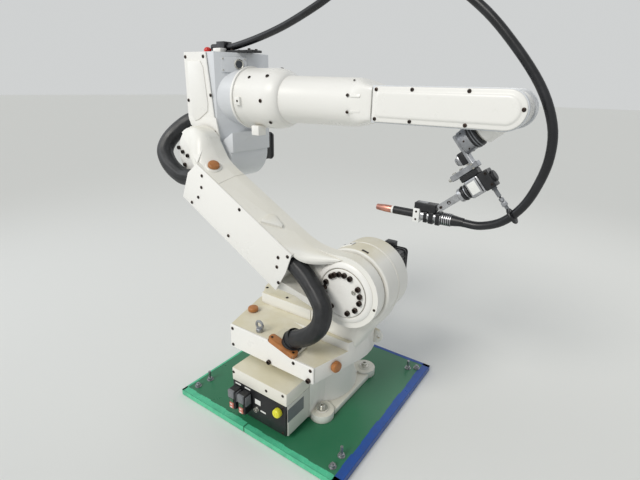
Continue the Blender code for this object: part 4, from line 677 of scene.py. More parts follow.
# %% Screw helpers
def cap_screw(bm, place, radius, height, washer=0.0, material=0):
    """Cylinder head with an open socket, on a washer if it has one."""
    edge = radius * 0.12
    if washer:
        turned(bm, [(0, 0), (washer, 0), (washer, radius * 0.2), (0, radius * 0.2)], place, 20, material)
    turned(bm, [(0, 0), (radius, 0), (radius, height - edge), (radius - edge, height),
                (radius * 0.60, height), (radius * 0.52, height - edge), (radius * 0.50, height * 0.35),
                (0, height * 0.35)], place, 18, material)


def dome_screw(bm, place, radius, material=0):
    """Low domed head with a small socket."""
    turned(bm, [(0, 0), (radius, 0), (radius * 0.96, radius * 0.25), (radius * 0.72, radius * 0.46),
                (radius * 0.50, radius * 0.50), (radius * 0.44, radius * 0.44),
                (radius * 0.40, radius * 0.10), (0, radius * 0.10)], place, 14, material)


def nut(bm, place, radius, low, high, material=0):
    """Hexagon nut between two heights."""
    hexagon = [(radius * math.cos(math.tau * i / 6), radius * math.sin(math.tau * i / 6)) for i in range(6)]
    extruded(bm, hexagon, high - low, place @ Matrix.Translation((0, 0, low)), radius * 0.10, material)


def screws(name, base, places, normal, radius, body, height=None, mat=BLACK_STEEL_AND_HOLE_SHADE, washer=0.0):
    """A group of like screws on one body, as one mesh."""
    bm = bmesh.new()
    for point in places:
        place = seat(base, point, normal, (0.3, 0.2, 0.9))
        if height:
            cap_screw(bm, place, radius, height, washer)
        else:
            dome_screw(bm, place, radius)
    return show(name, bm, mat, body)


print("screws ready")

# %% [markdown]
# ## Castings and covers
# Castings, covers, motors and caps keep their CAD shape. Each could have its own call, but a table
# with the paint and the width of the eased edge is easier to check. A width of zero leaves the
# edges as they are. The body is written once for each group.

# %% Castings
SKINS = {
    "base": (
        ("base_plate", FLOOR_GREEN, 0.0015, "green_floor_paint"),
        ("base_casting", CREAM, 0.002, "cream_paint"),
        ("connector_box", BOX_GREY, 0.001, "box_paint"),
        ("connector_lid", LID_CREAM, 0.0, "cream_paint"),
        ("connector_panel", PANEL_BLACK, 0.0006, "panel_black"),
        ("power_connector", BLACK, 0.0, "connector_grey"),
        ("signal_connector", BLACK, 0.0, "connector_grey"),
        ("gas_port_cap", YELLOW, 0.0, "yellow_plastic"),
    ),
    "swivel": (
        ("swivel_body", SWIVEL_CREAM, 0.003, "cream_paint"),
        ("swivel_cover", COVER_CREAM, 0.0, "cream_paint"),
        ("shoulder_motor", BLACK, 0.0, "motor_black"),
        ("gland_plate", SWIVEL_CREAM, 0.001, "orange_rubber"),
        ("top_stop_cap", RUBBER, 0.001, "orange_rubber"),
        ("side_stop_cap", RUBBER, 0.001, "orange_rubber"),
        ("lifting_eye", SATIN_GREY, 0.0, "bright_steel"),
    ),
    "lower_arm": (
        ("lower_arm", CREAM, 0.0, "cream_paint"),
        ("arm_cover", COVER_CREAM, 0.001, "cream_paint"),
        ("shoulder_gear_plate", COVER_CREAM, 0.0008, "cream_paint"),
        ("elbow_gear_plate", COVER_CREAM, 0.0008, "cream_paint"),
        ("arm_stop_cap", RUBBER, 0.001, "orange_rubber"),
    ),
    "elbow": (
        # The elbow casting wears the greyer copy of cream: its cool grey is painted light and shade.
        ("elbow_casting", SHADED_CREAM, 0.002, "cool_white_paint"),
        ("elbow_cover", COVER_CREAM, 0.0, "cream_paint"),
        ("elbow_motor", BLACK, 0.0, "motor_black"),
        ("status_lamp", RED_LENS, 0.0, "red_lens"),
        ("cable_clamp", BLACK, 0.0008, "tool_black"),
    ),
    "forearm": (
        ("forearm_tube", COVER_CREAM, 0.001, "cream_paint"),
        # The wrist case wears the same greyer copy of cream: painted light and shade.
        ("wrist_case", SHADED_CREAM, 0.0015, "cream_paint"),
        ("wrist_cover_right", COVER_CREAM, 0.0, "cream_paint"),
    ),
    "wrist": (
        ("wrist_body", COVER_CREAM, 0.001, "cream_paint"),
    ),
    "tool": (
        ("tool_ring", BLACK, 0.0005, "tool_black"),
        ("tool_flange", SATIN_GREY, 0.0006, "bright_steel"),
        ("torch_bracket", SATIN_GREY, 0.0, "bright_steel"),
        ("sensor_plate", BLACK, 0.0, "tool_black"),
        ("sensor_neck", STEEL, 0.0006, "bright_steel"),
        ("cable_guide", BLACK, 0.0, "bright_steel"),
        ("gas_nozzle", COPPER, 0.0003, "copper"),
    ),
}
for body, rows in SKINS.items():
    for node, mat, width, slot in rows:
        refined(node, mat, body, width)
print("skins", sum(len(rows) for rows in SKINS.values()))

# %% [markdown]
# ## Edge tape
# Vinyl tape is folded over the edges of the floor plate, mint at the front and left, blue at the
# right and back. A painted band would lie in the paint. Thin strips in short lengths have a real
# thickness and an inner edge that waves a little, as hand-laid tape does.

# %% Edge tape
PLATE_TOP = 0.025
TAPE = 0.0004


def tape_strip(bm, start, end, inward, width):
    """Tape folded over a plate edge, in short lengths so that its inner edge waves a little."""
    start, end = Vector(start), Vector(end)
    place = frame_of(start, (end - start).normalized(), inward, UP)
    piece = (end - start).length / 12
    for i in range(12):
        reach = width * (1 + 0.07 * math.sin(i * 2.1))
        block(bm, (i * piece, -TAPE, -TAPE), ((i + 1) * piece, reach, TAPE), place)
        block(bm, (i * piece, -TAPE, -0.023), ((i + 1) * piece, 0, TAPE), place)


bm = bmesh.new()
tape_strip(bm, (-0.37, -0.37, PLATE_TOP), (-0.036, -0.37, PLATE_TOP), (0, 1, 0), 0.024)
tape_strip(bm, (-0.030, -0.37, PLATE_TOP), (0.37, -0.37, PLATE_TOP), (0, 1, 0), 0.020)
tape_strip(bm, (-0.37, -0.37, PLATE_TOP), (-0.37, 0.37, PLATE_TOP), (1, 0, 0), 0.008)
show("mint_edge_tape", bm, MINT_TAPE, "base")
bm = bmesh.new()
tape_strip(bm, (0.37, -0.37, PLATE_TOP), (0.37, 0.37, PLATE_TOP), (-1, 0, 0), 0.030)
tape_strip(bm, (-0.37, 0.37, PLATE_TOP), (0.37, 0.37, PLATE_TOP), (0, -1, 0), 0.016)
show("blue_edge_tape", bm, BLUE_TAPE, "base")

# %% [markdown]
# ## Plate anchors
# Studs with a nut and a washer hold the plate at its corners, and low ones stand beside them. Their
# threads could be a helix, but at this size they wouldn't show, so a stud is a plain turned pin.

# %% Plate anchors
bm = bmesh.new()
for x, y, height in ((-0.328, -0.263, 0.040), (0.316, -0.273, 0.040), (0.299, 0.295, 0.038),
                     (-0.310, 0.290, 0.038), (-0.335, -0.319, 0.016), (0.316, -0.326, 0.016),
                     (0.330, 0.318, 0.016)):
    place = Matrix.Translation((x, y, PLATE_TOP))
    turned(bm, [(0, 0), (0.013, 0), (0.013, 0.002), (0, 0.002)], place, 20)
    nut(bm, place, 0.0100, 0.002, 0.011)
    turned(bm, [(0, 0.010), (0.0052, 0.010), (0.0052, height), (0, height)], place, 16)
show("plate_anchors", bm, SATIN_GREY, "base")

# %% [markdown]
# ## Foot of the base
# Flat rails join the four round feet of the base casting, and a plated bolt with a washer stands on
# each foot. One rail could be modelled and mirrored. It is as short to turn it by quarters in a
# loop.

# %% Foot of the base
bm = bmesh.new()
for quarter in range(4):
    turn = Matrix.Rotation(math.pi / 2 * quarter, 4, "Z")
    block(bm, (0.120, -0.128, PLATE_TOP), (0.196, 0.128, 0.047), turn, 0.003)
show("foot_rails", bm, CREAM, "base")
base_bolts = [(x, y, 0.0603) for x in (-0.158, 0.158) for y in (-0.158, 0.158)]
screws("base_bolts", WORLD, base_bolts, UP, 0.0115, "base", 0.013, ZINC, 0.021)

# %% [markdown]
# ## Connectors
# Two tall plugs with grey latches and coloured coding blocks fill the left of the black panel. Each
# latch is a few small blocks with eased edges. Both plugs are alike, so one loop makes them.

# %% Connector latches
PANEL = -0.335
panel_seat = seat(WORLD, (0, PANEL, 0), FRONT)
bm = bmesh.new()
for left in (-0.103, -0.057):
    block(bm, (left + 0.002, 0.126, 0.030), (left + 0.030, 0.158, 0.040), panel_seat, 0.003, 0)
    block(bm, (left - 0.003, 0.112, 0.004), (left + 0.001, 0.150, 0.030), panel_seat, 0.001, 0)
    block(bm, (left + 0.031, 0.112, 0.004), (left + 0.035, 0.150, 0.030), panel_seat, 0.001, 0)
    block(bm, (left + 0.007, 0.108, 0.033), (left + 0.025, 0.122, 0.0375), panel_seat, 0.001, 3)
    for low in (0.083, 0.095):
        block(bm, (left + 0.007, low, 0.033), (left + 0.025, low + 0.010, 0.0385), panel_seat, 0.0012, 1)
        block(bm, (left + 0.012, low + 0.003, 0.038), (left + 0.020, low + 0.007, 0.0392), panel_seat, 0.0, 2)
show("connector_latches", bm, (GREY_PLASTIC, PINK_PLASTIC, WHITE_PLASTIC, GREEN_PLASTIC), "base")

# %% [markdown]
# ## Blank labels and small port
# Small blank labels stand beside the sockets. They could be a second material on the panel, but as
# thin raised plates they catch an edge of light. The small port is turned from a profile.

# %% Blank labels and small port
bm = bmesh.new()
extruded(bm, round_rect(0.013, 0.010, 0.001, (0.006, 0.128)), 0.0006, panel_seat, 0.0, 0)
extruded(bm, round_rect(0.012, 0.003, 0.001, (0.030, 0.098)), 0.0006, panel_seat, 0.0, 0)
extruded(bm, round_rect(0.013, 0.003, 0.001, (-0.087, 0.163)), 0.0006, panel_seat, 0.0, 0)
extruded(bm, round_rect(0.013, 0.003, 0.001, (-0.041, 0.163)), 0.0006, panel_seat, 0.0, 0)
show("panel_blank_labels", bm, WHITE_PLASTIC, "base")
bm = bmesh.new()
small_port = panel_seat @ Matrix.Translation((0.002, 0.098, 0))
turned(bm, [(0, 0), (0.010, 0), (0.010, 0.004), (0.0085, 0.005), (0.0085, 0.010), (0.0065, 0.010),
            (0.0065, 0.003), (0, 0.003)], small_port, 28)
turned(bm, [(0, 0.003), (0.003, 0.003), (0.003, 0.009), (0, 0.009)], small_port, 16)
show("panel_round_port", bm, ZINC, "base")
bm = bmesh.new()
extruded(bm, round_rect(0.044, 0.026, 0.002), 0.0006, seat(WORLD, (0.1352, -0.285, 0.130), RIGHT), 0.0)
show("box_side_label", bm, GREY_PLASTIC, "base")

# %% [markdown]
# ## Yellow cap
# A ribbed plastic cap closes the gas port, and domed screws hold the lid and the panel. A bump could
# show the ribs, but sixteen small blocks set round the cap have real edges for the light.

# %% Yellow cap
bm = bmesh.new()
cap_seat = panel_seat @ Matrix.Translation((0.103, 0.140, 0.020))
for i in range(16):
    turn = Matrix.Rotation(math.tau * i / 16, 4, "Z")
    block(bm, (0.0140, -0.0012, -0.018), (0.0158, 0.0012, -0.004), cap_seat @ turn, 0.0004)
turned(bm, [(0, 0), (0.009, 0), (0.0085, 0.0015), (0.004, 0.0018), (0.004, 0.0008), (0, 0.0008)],
       cap_seat, 28)
show("cap_grip_ribs", bm, YELLOW, "base")
lid_screws = [(-0.107, PANEL, 0.205), (0.047, PANEL, 0.196), (0.119, PANEL, 0.210), (-0.104, PANEL, 0.060),
              (0.119, PANEL, 0.160), (0.119, PANEL, 0.056)]
screws("lid_screws", WORLD, lid_screws, FRONT, 0.0052, "base")

# %% [markdown]
# ## Cover of the turning body
# Small domed screws hold the front cover, and two larger cap screws sit at its lower edge. They could
# be set by eye on the model. A list of places can be checked against the photograph.

# %% Cover of the turning body
COVER_Y = -0.264
cover_screws = [(-0.178, 0.322), (-0.178, 0.254), (0.107, 0.292), (0.178, 0.292)]
screws("swivel_cover_screws", WORLD, [(x, COVER_Y, z) for x, z in cover_screws], FRONT, 0.0062, "swivel")
screws("swivel_bottom_bolts", WORLD, [(0.0, COVER_Y, 0.252), (0.172, COVER_Y, 0.252)], FRONT, 0.0085,
       "swivel", 0.009)

# %% [markdown]
# ## Cable gland
# The conduit comes out of a sloping step with a urethane strip and two screws. The strip could be
# part of the solid, but an extruded outline gets the soft rim that urethane has. The solid's own
# sleeve turns black by choosing the faces near the conduit's axis, and a turned cuff joins it.

# %% Cable gland
slope = Vector((0.115, 0, -0.032)).normalized()
slope_seat = frame_of(Vector((-0.010, COVER_Y, 0.336)), slope, BACK, slope.cross(BACK))
bm = bmesh.new()
extruded(bm, round_rect(0.0600, 0.0165, 0.012, (0.0600, 0.0150)), 0.0185, slope_seat, 0.003)
for along in (0.012, 0.108):
    turned(bm, [(0, 0.0185), (0.0045, 0.0185), (0.0045, 0.0198), (0.002, 0.0200), (0, 0.0188)],
           slope_seat @ Matrix.Translation((along, 0.010, 0)), 16, 1)
show("gland_strip", bm, (RUBBER, BLACK_STEEL_AND_HOLE_SHADE), "swivel")
sleeve_start, sleeve_end = Vector(shoulder_knots[0]), Vector(shoulder_knots[1])
sleeve_axis = (sleeve_end - sleeve_start).normalized()
SLEEVE_REACH = 0.044
gland = bpy.data.objects["gland_plate_skin"].data
gland.materials.append(BLACK)
for face in gland.polygons:
    off_axis = (face.center - sleeve_start).cross(sleeve_axis).length
    if off_axis < SLEEVE_REACH and abs(face.normal.dot(slope.cross(BACK))) < 0.95:
        face.material_index = 1
print("sleeve faces", sum(face.material_index for face in gland.polygons))
bm = bmesh.new()
cuff = seat(WORLD, sleeve_start, sleeve_axis, BACK)
turned(bm, [(0.0315, 0.004), (0.0350, 0.004), (0.0350, 0.026), (0.0335, 0.030), (0.0315, 0.030),
            (0.0315, 0.004)], cuff, 40)
show("gland_cuff", bm, BLACK, "swivel")

# %% [markdown]
# ## Slab on the turning body
# A machined slab with a thin gasket lies on the turning body. It could be a box with bevelled
# corners, but its corners differ, so its outline is a short list of them, extruded.

# %% Slab
bm = bmesh.new()
pad = [(-0.252, 0.100), (-0.256, 0.030), (-0.238, -0.015), (-0.205, -0.064), (0.030, -0.064),
       (0.030, 0.100)]
extruded(bm, pad[::-1], 0.0435, Matrix.Translation((0, 0, 0.336)), 0.002)
show("slab_pad", bm, SWIVEL_CREAM, "swivel")
bm = bmesh.new()
recess = [(-0.205, -0.052), (-0.232, -0.008), (-0.243, 0.030), (-0.240, 0.085), (-0.090, 0.085),
          (-0.090, -0.052)]
extruded(bm, recess, 0.0006, Matrix.Translation((0, 0, 0.3795)), 0.0)
show("slab_gasket", bm, LID_CREAM, "swivel")
screws("slab_screws", WORLD, [(-0.222, -0.020, 0.380), (-0.100, -0.040, 0.380), (-0.228, 0.070, 0.380)], UP,
       0.006, "swivel")

# %% [markdown]
# ## Shoulder housing
# The round housing has a seam between its halves and small plates on top. A boolean could cut the
# seam as a groove. A thin line turned round the same axis reads the same and leaves the casting's
# mesh alone. The plates sit on seats that look straight out of the cylinder.

# %% Shoulder housing
HOUSING_RADIUS = 0.132
bm = bmesh.new()
axis_back = seat(WORLD, SHOULDER, BACK)
for depth in (-0.030, -0.034):
    turned(bm, [(0.1318, depth - 0.0010), (0.1330, depth - 0.0006), (0.1330, depth + 0.0006),
                (0.1318, depth + 0.0010), (0.1318, depth - 0.0010)], axis_back, 64)
show("housing_seam", bm, CREAM, "swivel")
bm = bmesh.new()
for x, y, half_x, half_y, height, mat in ((0.178, -0.058, 0.024, 0.013, 0.003, 0),
                                          (0.262, -0.092, 0.012, 0.005, 0.0016, 1),
                                          (0.166, -0.058, 0.003, 0.003, 0.0045, 1),
                                          (0.190, -0.058, 0.003, 0.003, 0.0045, 1)):
    beside = x - SHOULDER.x
    out = Vector((beside, 0, math.sqrt(HOUSING_RADIUS ** 2 - beside ** 2)))
    place = seat(WORLD, (x, y, SHOULDER.z + out.z), out, BACK)
    extruded(bm, round_rect(half_x, half_y, 0.0015), height, place @ Matrix.Translation((0, 0, -0.001)),
             0.0004, mat)
show("housing_small_plate", bm, (WHITE_PLASTIC, BLACK_STEEL_AND_HOLE_SHADE), "swivel")

# %% [markdown]
# ## Shoulder motor
# The black servo motor has flanges, cooling ribs and two cable sockets. Ribs could be a bump, but
# they show in the outline from behind, so each is a block with eased edges, made by loops.

# %% Shoulder motor
bm = bmesh.new()
MOTOR_FACE = 0.0403
motor = seat(WORLD, (SHOULDER.x, MOTOR_FACE, SHOULDER.z), BACK)
for depth in (0.012, 0.030, 0.118, 0.132):
    extruded(bm, round_rect(0.066, 0.066, 0.014), 0.006, motor @ Matrix.Translation((0, 0, depth)), 0.001)
for side in (-1, 1):
    for row in range(-3, 4):
        near, far = row * 0.014 - 0.0025, row * 0.014 + 0.0025
        inner, outer = side * 0.0635 - 0.002, side * 0.0635 + 0.002
        block(bm, (inner, near, 0.040), (outer, far, 0.114), motor, 0.001)
        block(bm, (near, inner, 0.040), (far, outer, 0.114), motor, 0.001)
block(bm, (-0.020, 0.060, 0.112), (0.020, 0.084, 0.144), motor, 0.004)
block(bm, (-0.014, 0.060, 0.052), (0.014, 0.078, 0.080), motor, 0.004)
show("shoulder_motor_ribs", bm, BLACK, "swivel")

# %% [markdown]
# ## Gear bolts
# Large cap screws hold the gear's disc in the shoulder, in groups with gaps between them. An even
# circle would be one line of code, but the groups are what the eye knows, so their angles are
# written down. The screws of the elbow's disc and of the long cover follow the photograph too.

# %% Gear bolts
DISC_Y = -0.1703
HUB_Y = -0.160
GEAR_CIRCLE = 0.066
angles = (96, 115, 133, 152, 175, 69, 57, 41, 24, 5, -31, -52, -72, -100, -129)
gear_bolts = [(GEAR_CIRCLE * math.cos(math.radians(angle)), DISC_Y,
               GEAR_CIRCLE * math.sin(math.radians(angle))) for angle in angles]
screws("shoulder_gear_bolts", ARM, gear_bolts, FRONT, 0.0088, "lower_arm", 0.009)
pin = [(0.045 * math.cos(math.radians(-39)), DISC_Y, 0.045 * math.sin(math.radians(-39)))]
screws("shoulder_gear_pin", ARM, pin, FRONT, 0.0075, "lower_arm", 0.004, ZINC)
elbow_bolts = [(-0.0300, 0.0836), (-0.0319, 0.0585), (-0.0294, 0.0299), (-0.0700, 0.0300),
               (-0.0790, -0.0150), (-0.0640, -0.0520)]
screws("elbow_gear_bolts", ARM, [(n, DISC_Y, ARM_LENGTH + u) for n, u in elbow_bolts], FRONT, 0.0072,
       "lower_arm", 0.007)
cover_bolts = [(0.002, 0.636), (0.010, 0.437), (0.008, 0.199), (-0.038, 0.621), (-0.082, 0.620),
               (-0.122, 0.640), (-0.111, 0.437), (-0.100, 0.183), (-0.022, 0.227), (-0.055, 0.215)]
screws("arm_cover_screws", ARM, [(n, -0.235, u) for n, u in cover_bolts], FRONT, 0.0060, "lower_arm")
screws("hub_screw", ARM, [(0.031, HUB_Y, -0.1097)], FRONT, 0.0045, "lower_arm")

# %% [markdown]
# ## Hub rings
# A raised ring with a rounded rim runs round each gear disc. A torus could stand for it, but a turned
# profile has the flat top and the slope that a lathe gives.

# %% Hub rings
bm = bmesh.new()
hub = seat(ARM, (0, HUB_Y, 0), FRONT, (0, 0, 1))
turned(bm, [(0.084, -0.002), (0.084, 0.006), (0.0865, 0.0085), (0.091, 0.0085), (0.101, 0.0045),
            (0.104, 0.0015), (0.104, -0.002), (0.084, -0.002)], hub, 72)
head = seat(ARM, (0, HUB_Y, ARM_LENGTH), FRONT, (0, 0, 1))
turned(bm, [(0.050, -0.002), (0.050, 0.0095), (0.088, 0.0098), (0.0945, 0.0060), (0.0965, 0.0015),
            (0.0965, -0.002), (0.050, -0.002)], head, 72)
show("hub_rings", bm, COVER_CREAM, "lower_arm")
print("arm bolts", len(gear_bolts) + len(elbow_bolts) + len(cover_bolts))

# %% [markdown]
# ## Shells over the arm's ends
# The duct of the lower arm swells into a hood at the elbow and runs out in a fairing at the shoulder.
# Both are soft cast forms. They could be sculpted. Here two measured curves are the outer and the
# inner edge, and the section between them goes from flat to full, so that both stay easy to change.

# %% Shells
PLATE_FRONT, DUCT_FRONT, ARM_BACK = -0.160, -0.2298, -0.115


def shell(name, outer, inner, roundness):
    """A shell between two curves, flat like the flank at its start and full like a knuckle at its end."""
    rings = []
    far_points, near_points = smooth_route(outer, 4), smooth_route(inner, 4)
    for i, (far, near) in enumerate(zip(far_points, near_points)):
        share = min(1.0, 1.6 * i / (len(far_points) - 1))
        power = 2.0 + (roundness - 2.0) * share * share * (3 - 2 * share)
        ring = [Vector((far.x + 0.001, ARM_BACK - 0.002, far.z))]
        for step in range(9):
            turn = math.pi / 2 * step / 8
            reach, rise = max(math.cos(turn), 0.0) ** power, math.sin(turn) ** power
            ring.append(Vector((near.x + (far.x - near.x) * reach + 0.001, far.y + (near.y - far.y) * rise,
                                far.z + (near.z - far.z) * step / 8)))
        ring.append(Vector((near.x - 0.006, near.y + 0.001, near.z)))
        ring.append(Vector((near.x - 0.006, PLATE_FRONT + 0.002, near.z)))
        rings.append(ring)
    bm = bmesh.new()
    lofted(bm, rings, ARM)
    return show(name, bm, CREAM, "lower_arm", 40.0)


print("shell function ready")

# %% [markdown]
# ## Elbow hood
# The solid has a plain ring where the real hood slopes back. A boolean could cut it away, but it is
# enough to press the ring's front down in the skin. The shell then covers it.

# %% Elbow hood
RIM_START, RIM_INSIDE, RIM_LEFT_HIGH = 0.700, 0.060, 0.012
for vertex in bpy.data.objects["lower_arm_skin"].data.vertices:
    place = ARM.inverted() @ vertex.co
    off_axis = math.hypot(place.x, place.z - ARM_LENGTH)
    if place.z > RIM_START and place.x > 0 and off_axis > RIM_INSIDE:
        place.y = max(place.y, PLATE_FRONT - RIM_LEFT_HIGH)
        vertex.co = ARM @ place
shell("elbow_hood", ((0.044, PLATE_FRONT, 0.560), (0.047, PLATE_FRONT, 0.635), (0.072, PLATE_FRONT, 0.690),
                     (0.090, PLATE_FRONT, 0.725), (0.0975, PLATE_FRONT, 0.758),
                     (0.0915, PLATE_FRONT, 0.795), (0.070, PLATE_FRONT, 0.829)),
      ((0.0245, DUCT_FRONT, 0.560), (0.0235, DUCT_FRONT, 0.630), (0.010, -0.2280, 0.685),
       (0.007, -0.2180, 0.714), (0.018, -0.2070, 0.748), (0.034, -0.1930, 0.782), (0.046, -0.1780, 0.808)),
      1.0)

# %% [markdown]
# ## Shoulder fairing
# The fairing is the same kind of shell, flatter and shorter, and its end dies out on the hub. A
# second helper isn't needed, only other curves.

# %% Shoulder fairing
shell("shoulder_fairing", ((0.044, PLATE_FRONT, 0.260), (0.046, PLATE_FRONT, 0.200),
                           (0.056, PLATE_FRONT, 0.150), (0.072, PLATE_FRONT, 0.104),
                           (0.089, PLATE_FRONT, 0.060)),
      ((0.0245, DUCT_FRONT, 0.260), (0.0245, DUCT_FRONT, 0.210), (0.018, -0.2150, 0.166),
       (0.030, -0.1960, 0.128), (0.066, -0.1665, 0.078)), 1.2)

# %% [markdown]
# ## Rib and boss on the flank
# A small cast rib stands on the leaning side of the arm, and the rubber stop sits in a round boss.
# Both could be cut from one block. An extruded outline on a seat that leans with the flank and a
# ring turned round the stop's own axis fit more closely.

# %% Rib and boss on the flank
FLANK_OUT = (0.961, -0.275, 0)
bm = bmesh.new()
flank = seat(ARM, (0.0335, -0.196, 0.325), FLANK_OUT, (0, 0, 1))
rib = [(-0.030, 0.022), (-0.018, 0.030), (0.018, 0.030), (0.028, 0.018), (0.020, -0.030), (0.012, -0.036)]
extruded(bm, rib, 0.010, flank, 0.004)
cap_low, cap_high = (Vector(corner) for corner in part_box("arm_stop_cap"))
cap_out = (ARM.to_3x3() @ Vector(FLANK_OUT)).normalized()
cap_base = seat(WORLD, (cap_low + cap_high) / 2 - cap_out * 0.009, cap_out)
turned(bm, [(0.0205, 0), (0.028, 0), (0.028, 0.004), (0.025, 0.007), (0.0205, 0.007), (0.0205, 0)],
       cap_base, 40)
show("flank_rib_and_boss", bm, CREAM, "lower_arm")

# %% [markdown]
# ## Elbow cover
# The cover has a raised middle and a lip that follows the casting. Insets could press both out of
# one sheet. Two extruded outlines with eased edges give the same steps and are easier to fit.

# %% Elbow cover
elbow_screws = [(-0.090, 0.336), (0.006, 0.336), (0.033, 0.206), (-0.090, 0.185), (-0.011, 0.077),
                (0.046, 0.077)]
screws("elbow_cover_screws", ELBOW, [(x, -0.107, z) for x, z in elbow_screws], FRONT, 0.0062, "elbow")
bm = bmesh.new()
face = seat(ELBOW, (0, -0.107, 0), FRONT)
raised = [(-0.078, 0.322), (-0.010, 0.322), (0.004, 0.300), (0.018, 0.175), (0.014, 0.150), (-0.036, 0.118),
          (-0.060, 0.112), (-0.078, 0.130)]
extruded(bm, raised[::-1], 0.004, face, 0.003)
lip = [(-0.099, 0.128), (-0.088, 0.096), (-0.058, 0.078), (-0.030, 0.064), (0.048, 0.060), (0.058, 0.034),
       (0.066, 0.062), (0.052, 0.128)]
extruded(bm, lip, 0.0058, face @ Matrix.Translation((0, 0, -0.0056)), 0.0008)
show("elbow_cover_panel", bm, COVER_CREAM, "elbow")

# %% [markdown]
# ## Sight glass
# The slanting corner carries a plate with four screws and a round oil sight. Clear glass over a dark
# hole could be modelled. At this size only its dark gloss shows, so a disc in a plated ring stands
# for it, its dark colour the painted shade of the hole.

# %% Sight glass
slant = Vector((0.075, 0.135, 0)).normalized()
slant_seat = seat(ELBOW, (0.088, -0.0386, 0.311), Vector((slant.y, -slant.x, 0)))
bm = bmesh.new()
extruded(bm, round_rect(0.047, 0.026, 0.003), 0.0025, slant_seat, 0.0008, 0)
sight = slant_seat @ Matrix.Translation((0.018, 0.002, 0))
turned(bm, [(0, 0.0025), (0.0175, 0.0025), (0.0175, 0.0045), (0.0150, 0.0060), (0.0130, 0.0045),
            (0, 0.0045)], sight, 36, 1)
# Painted shade: the dark glass disc stands for the shade of the hole behind it.
turned(bm, [(0, 0.0045), (0.0125, 0.0045), (0.0120, 0.0052), (0, 0.0052)], sight, 28, 2)
for x, y in ((-0.040, 0.019), (-0.040, -0.019), (0.040, 0.019), (0.040, -0.019)):
    dome_screw(bm, slant_seat @ Matrix.Translation((x, y, 0.0025)), 0.003, 1)
# The plate's greyer cream is painted cool light and shade.
show("sight_plate", bm, (SHADED_CREAM, ZINC, SHADED_SIGHT_GLASS), "elbow")

# %% [markdown]
# ## Lamp, block and clamp screws
# On top are a red status lamp on a plated base, a small white block and the clamp of the torch cable.
# The lamp's dome and the clamp are CAD pieces. Their base and screws are added, because small bright
# edges make them read as metal on plastic.

# %% Lamp base and clamp screws
bm = bmesh.new()
turned(bm, [(0, 0), (0.019, 0), (0.019, 0.004), (0.0150, 0.0055), (0, 0.0055)],
       ELBOW @ Matrix.Translation((-0.055, -0.030, 0.352)), 32)
show("lamp_base", bm, ZINC, "elbow")
bm = bmesh.new()
block(bm, (-0.006, -0.050, 0.352), (0.034, -0.018, 0.368), ELBOW, 0.003)
show("elbow_top_pad", bm, COVER_CREAM, "elbow")
screws("clamp_screws", ELBOW, [(0.060, -0.018, 0.3603), (0.060, 0.018, 0.3603), (0.145, -0.018, 0.3603),
                               (0.145, 0.018, 0.3603)], UP, 0.005, "elbow", 0.005)

# %% [markdown]
# ## Elbow motor
# The photograph doesn't show the back of the elbow. Robots of this kind have a motor there like the
# shoulder's, only smaller. It could stay a plain block, but flanges and a socket cost three lines.

# %% Elbow motor
bm = bmesh.new()
rear = seat(ELBOW, (0, 0.1093, 0), BACK)
for depth in (0.010, 0.026, 0.090):
    extruded(bm, round_rect(0.057, 0.057, 0.012), 0.005, rear @ Matrix.Translation((0, 0, depth)), 0.001)
block(bm, (-0.018, 0.052, 0.070), (0.018, 0.074, 0.098), rear, 0.004)
show("elbow_motor_ribs", bm, BLACK, "elbow")

# %% [markdown]
# ## Forearm screws
# Small screws stand round the flange and round the joint of the tube. Each could be placed by hand.
# An angle and a radius put it on the round tube with its head looking straight out.


# %% Forearm screws
def on_tube(x, angle, radius):
    """A point and its outward direction on the forearm tube; the angle is from the front, upwards."""
    turn = math.radians(angle)
    out = Vector((0, -math.cos(turn), math.sin(turn)))
    return Vector((x, 0, 0)) + out * radius, out


bm = bmesh.new()
for x, angle, radius, size in ((-0.844, 42.6, 0.1018, 0.006), (-0.767, 46.5, 0.1018, 0.0065),
                               (-0.772, -2.7, 0.1018, 0.0065), (-0.757, -48, 0.1018, 0.0065),
                               (-0.775, 100, 0.1018, 0.006), (-0.775, 145, 0.1018, 0.006),
                               (-0.775, 215, 0.1018, 0.006), (-0.450, 16.9, 0.0768, 0.005),
                               (-0.450, -20.1, 0.0768, 0.005), (-0.450, 163, 0.0768, 0.005),
                               (-0.450, 197, 0.0768, 0.005), (-0.448, 58, 0.0764, 0.0035)):
    point, out = on_tube(x, angle, radius)
    dome_screw(bm, seat(FOREARM, point, out, (1, 0, 0)), size)
show("forearm_screws", bm, BLACK_STEEL_AND_HOLE_SHADE, "forearm")

# %% [markdown]
# ## Marks and lugs of the forearm
# A small tab marks the zero position at the flange, a block hangs under it, and two lugs lie along
# the tube. They could be part of the solid, but they are too fine for it, so they are extruded
# outlines set by the same angles as the screws.

# %% Forearm lugs
bm = bmesh.new()
point, out = on_tube(-0.873, -4.5, 0.100)
tab = seat(FOREARM, point, out, (1, 0, 0))
extruded(bm, round_rect(0.014, 0.012, 0.003), 0.010, tab, 0.002)
dome_screw(bm, tab @ Matrix.Translation((0, 0.001, 0.010)), 0.004, 1)
block(bm, (-0.842, -0.075, -0.124), (-0.808, -0.035, -0.090), FOREARM, 0.003)
for angle in (16.9, -20.1):
    point, out = on_tube(-0.425, angle, 0.0725)
    extruded(bm, round_rect(0.0055, 0.018, 0.005), 0.004, seat(FOREARM, point, out, (1, 0, 0)), 0.0015)
show("forearm_lugs", bm, (COVER_CREAM, BLACK_STEEL_AND_HOLE_SHADE), "forearm")

# %% [markdown]
# ## Wrist cover
# A moulded cover closes the wrist case, round at the wrist end, with a low step and a raised middle.
# An extruded outline has one edge only. So rings of the same outline are inset step by step and
# lofted.

# %% Wrist cover
CASE_Y = -0.0643
HALF_CASE = 0.049


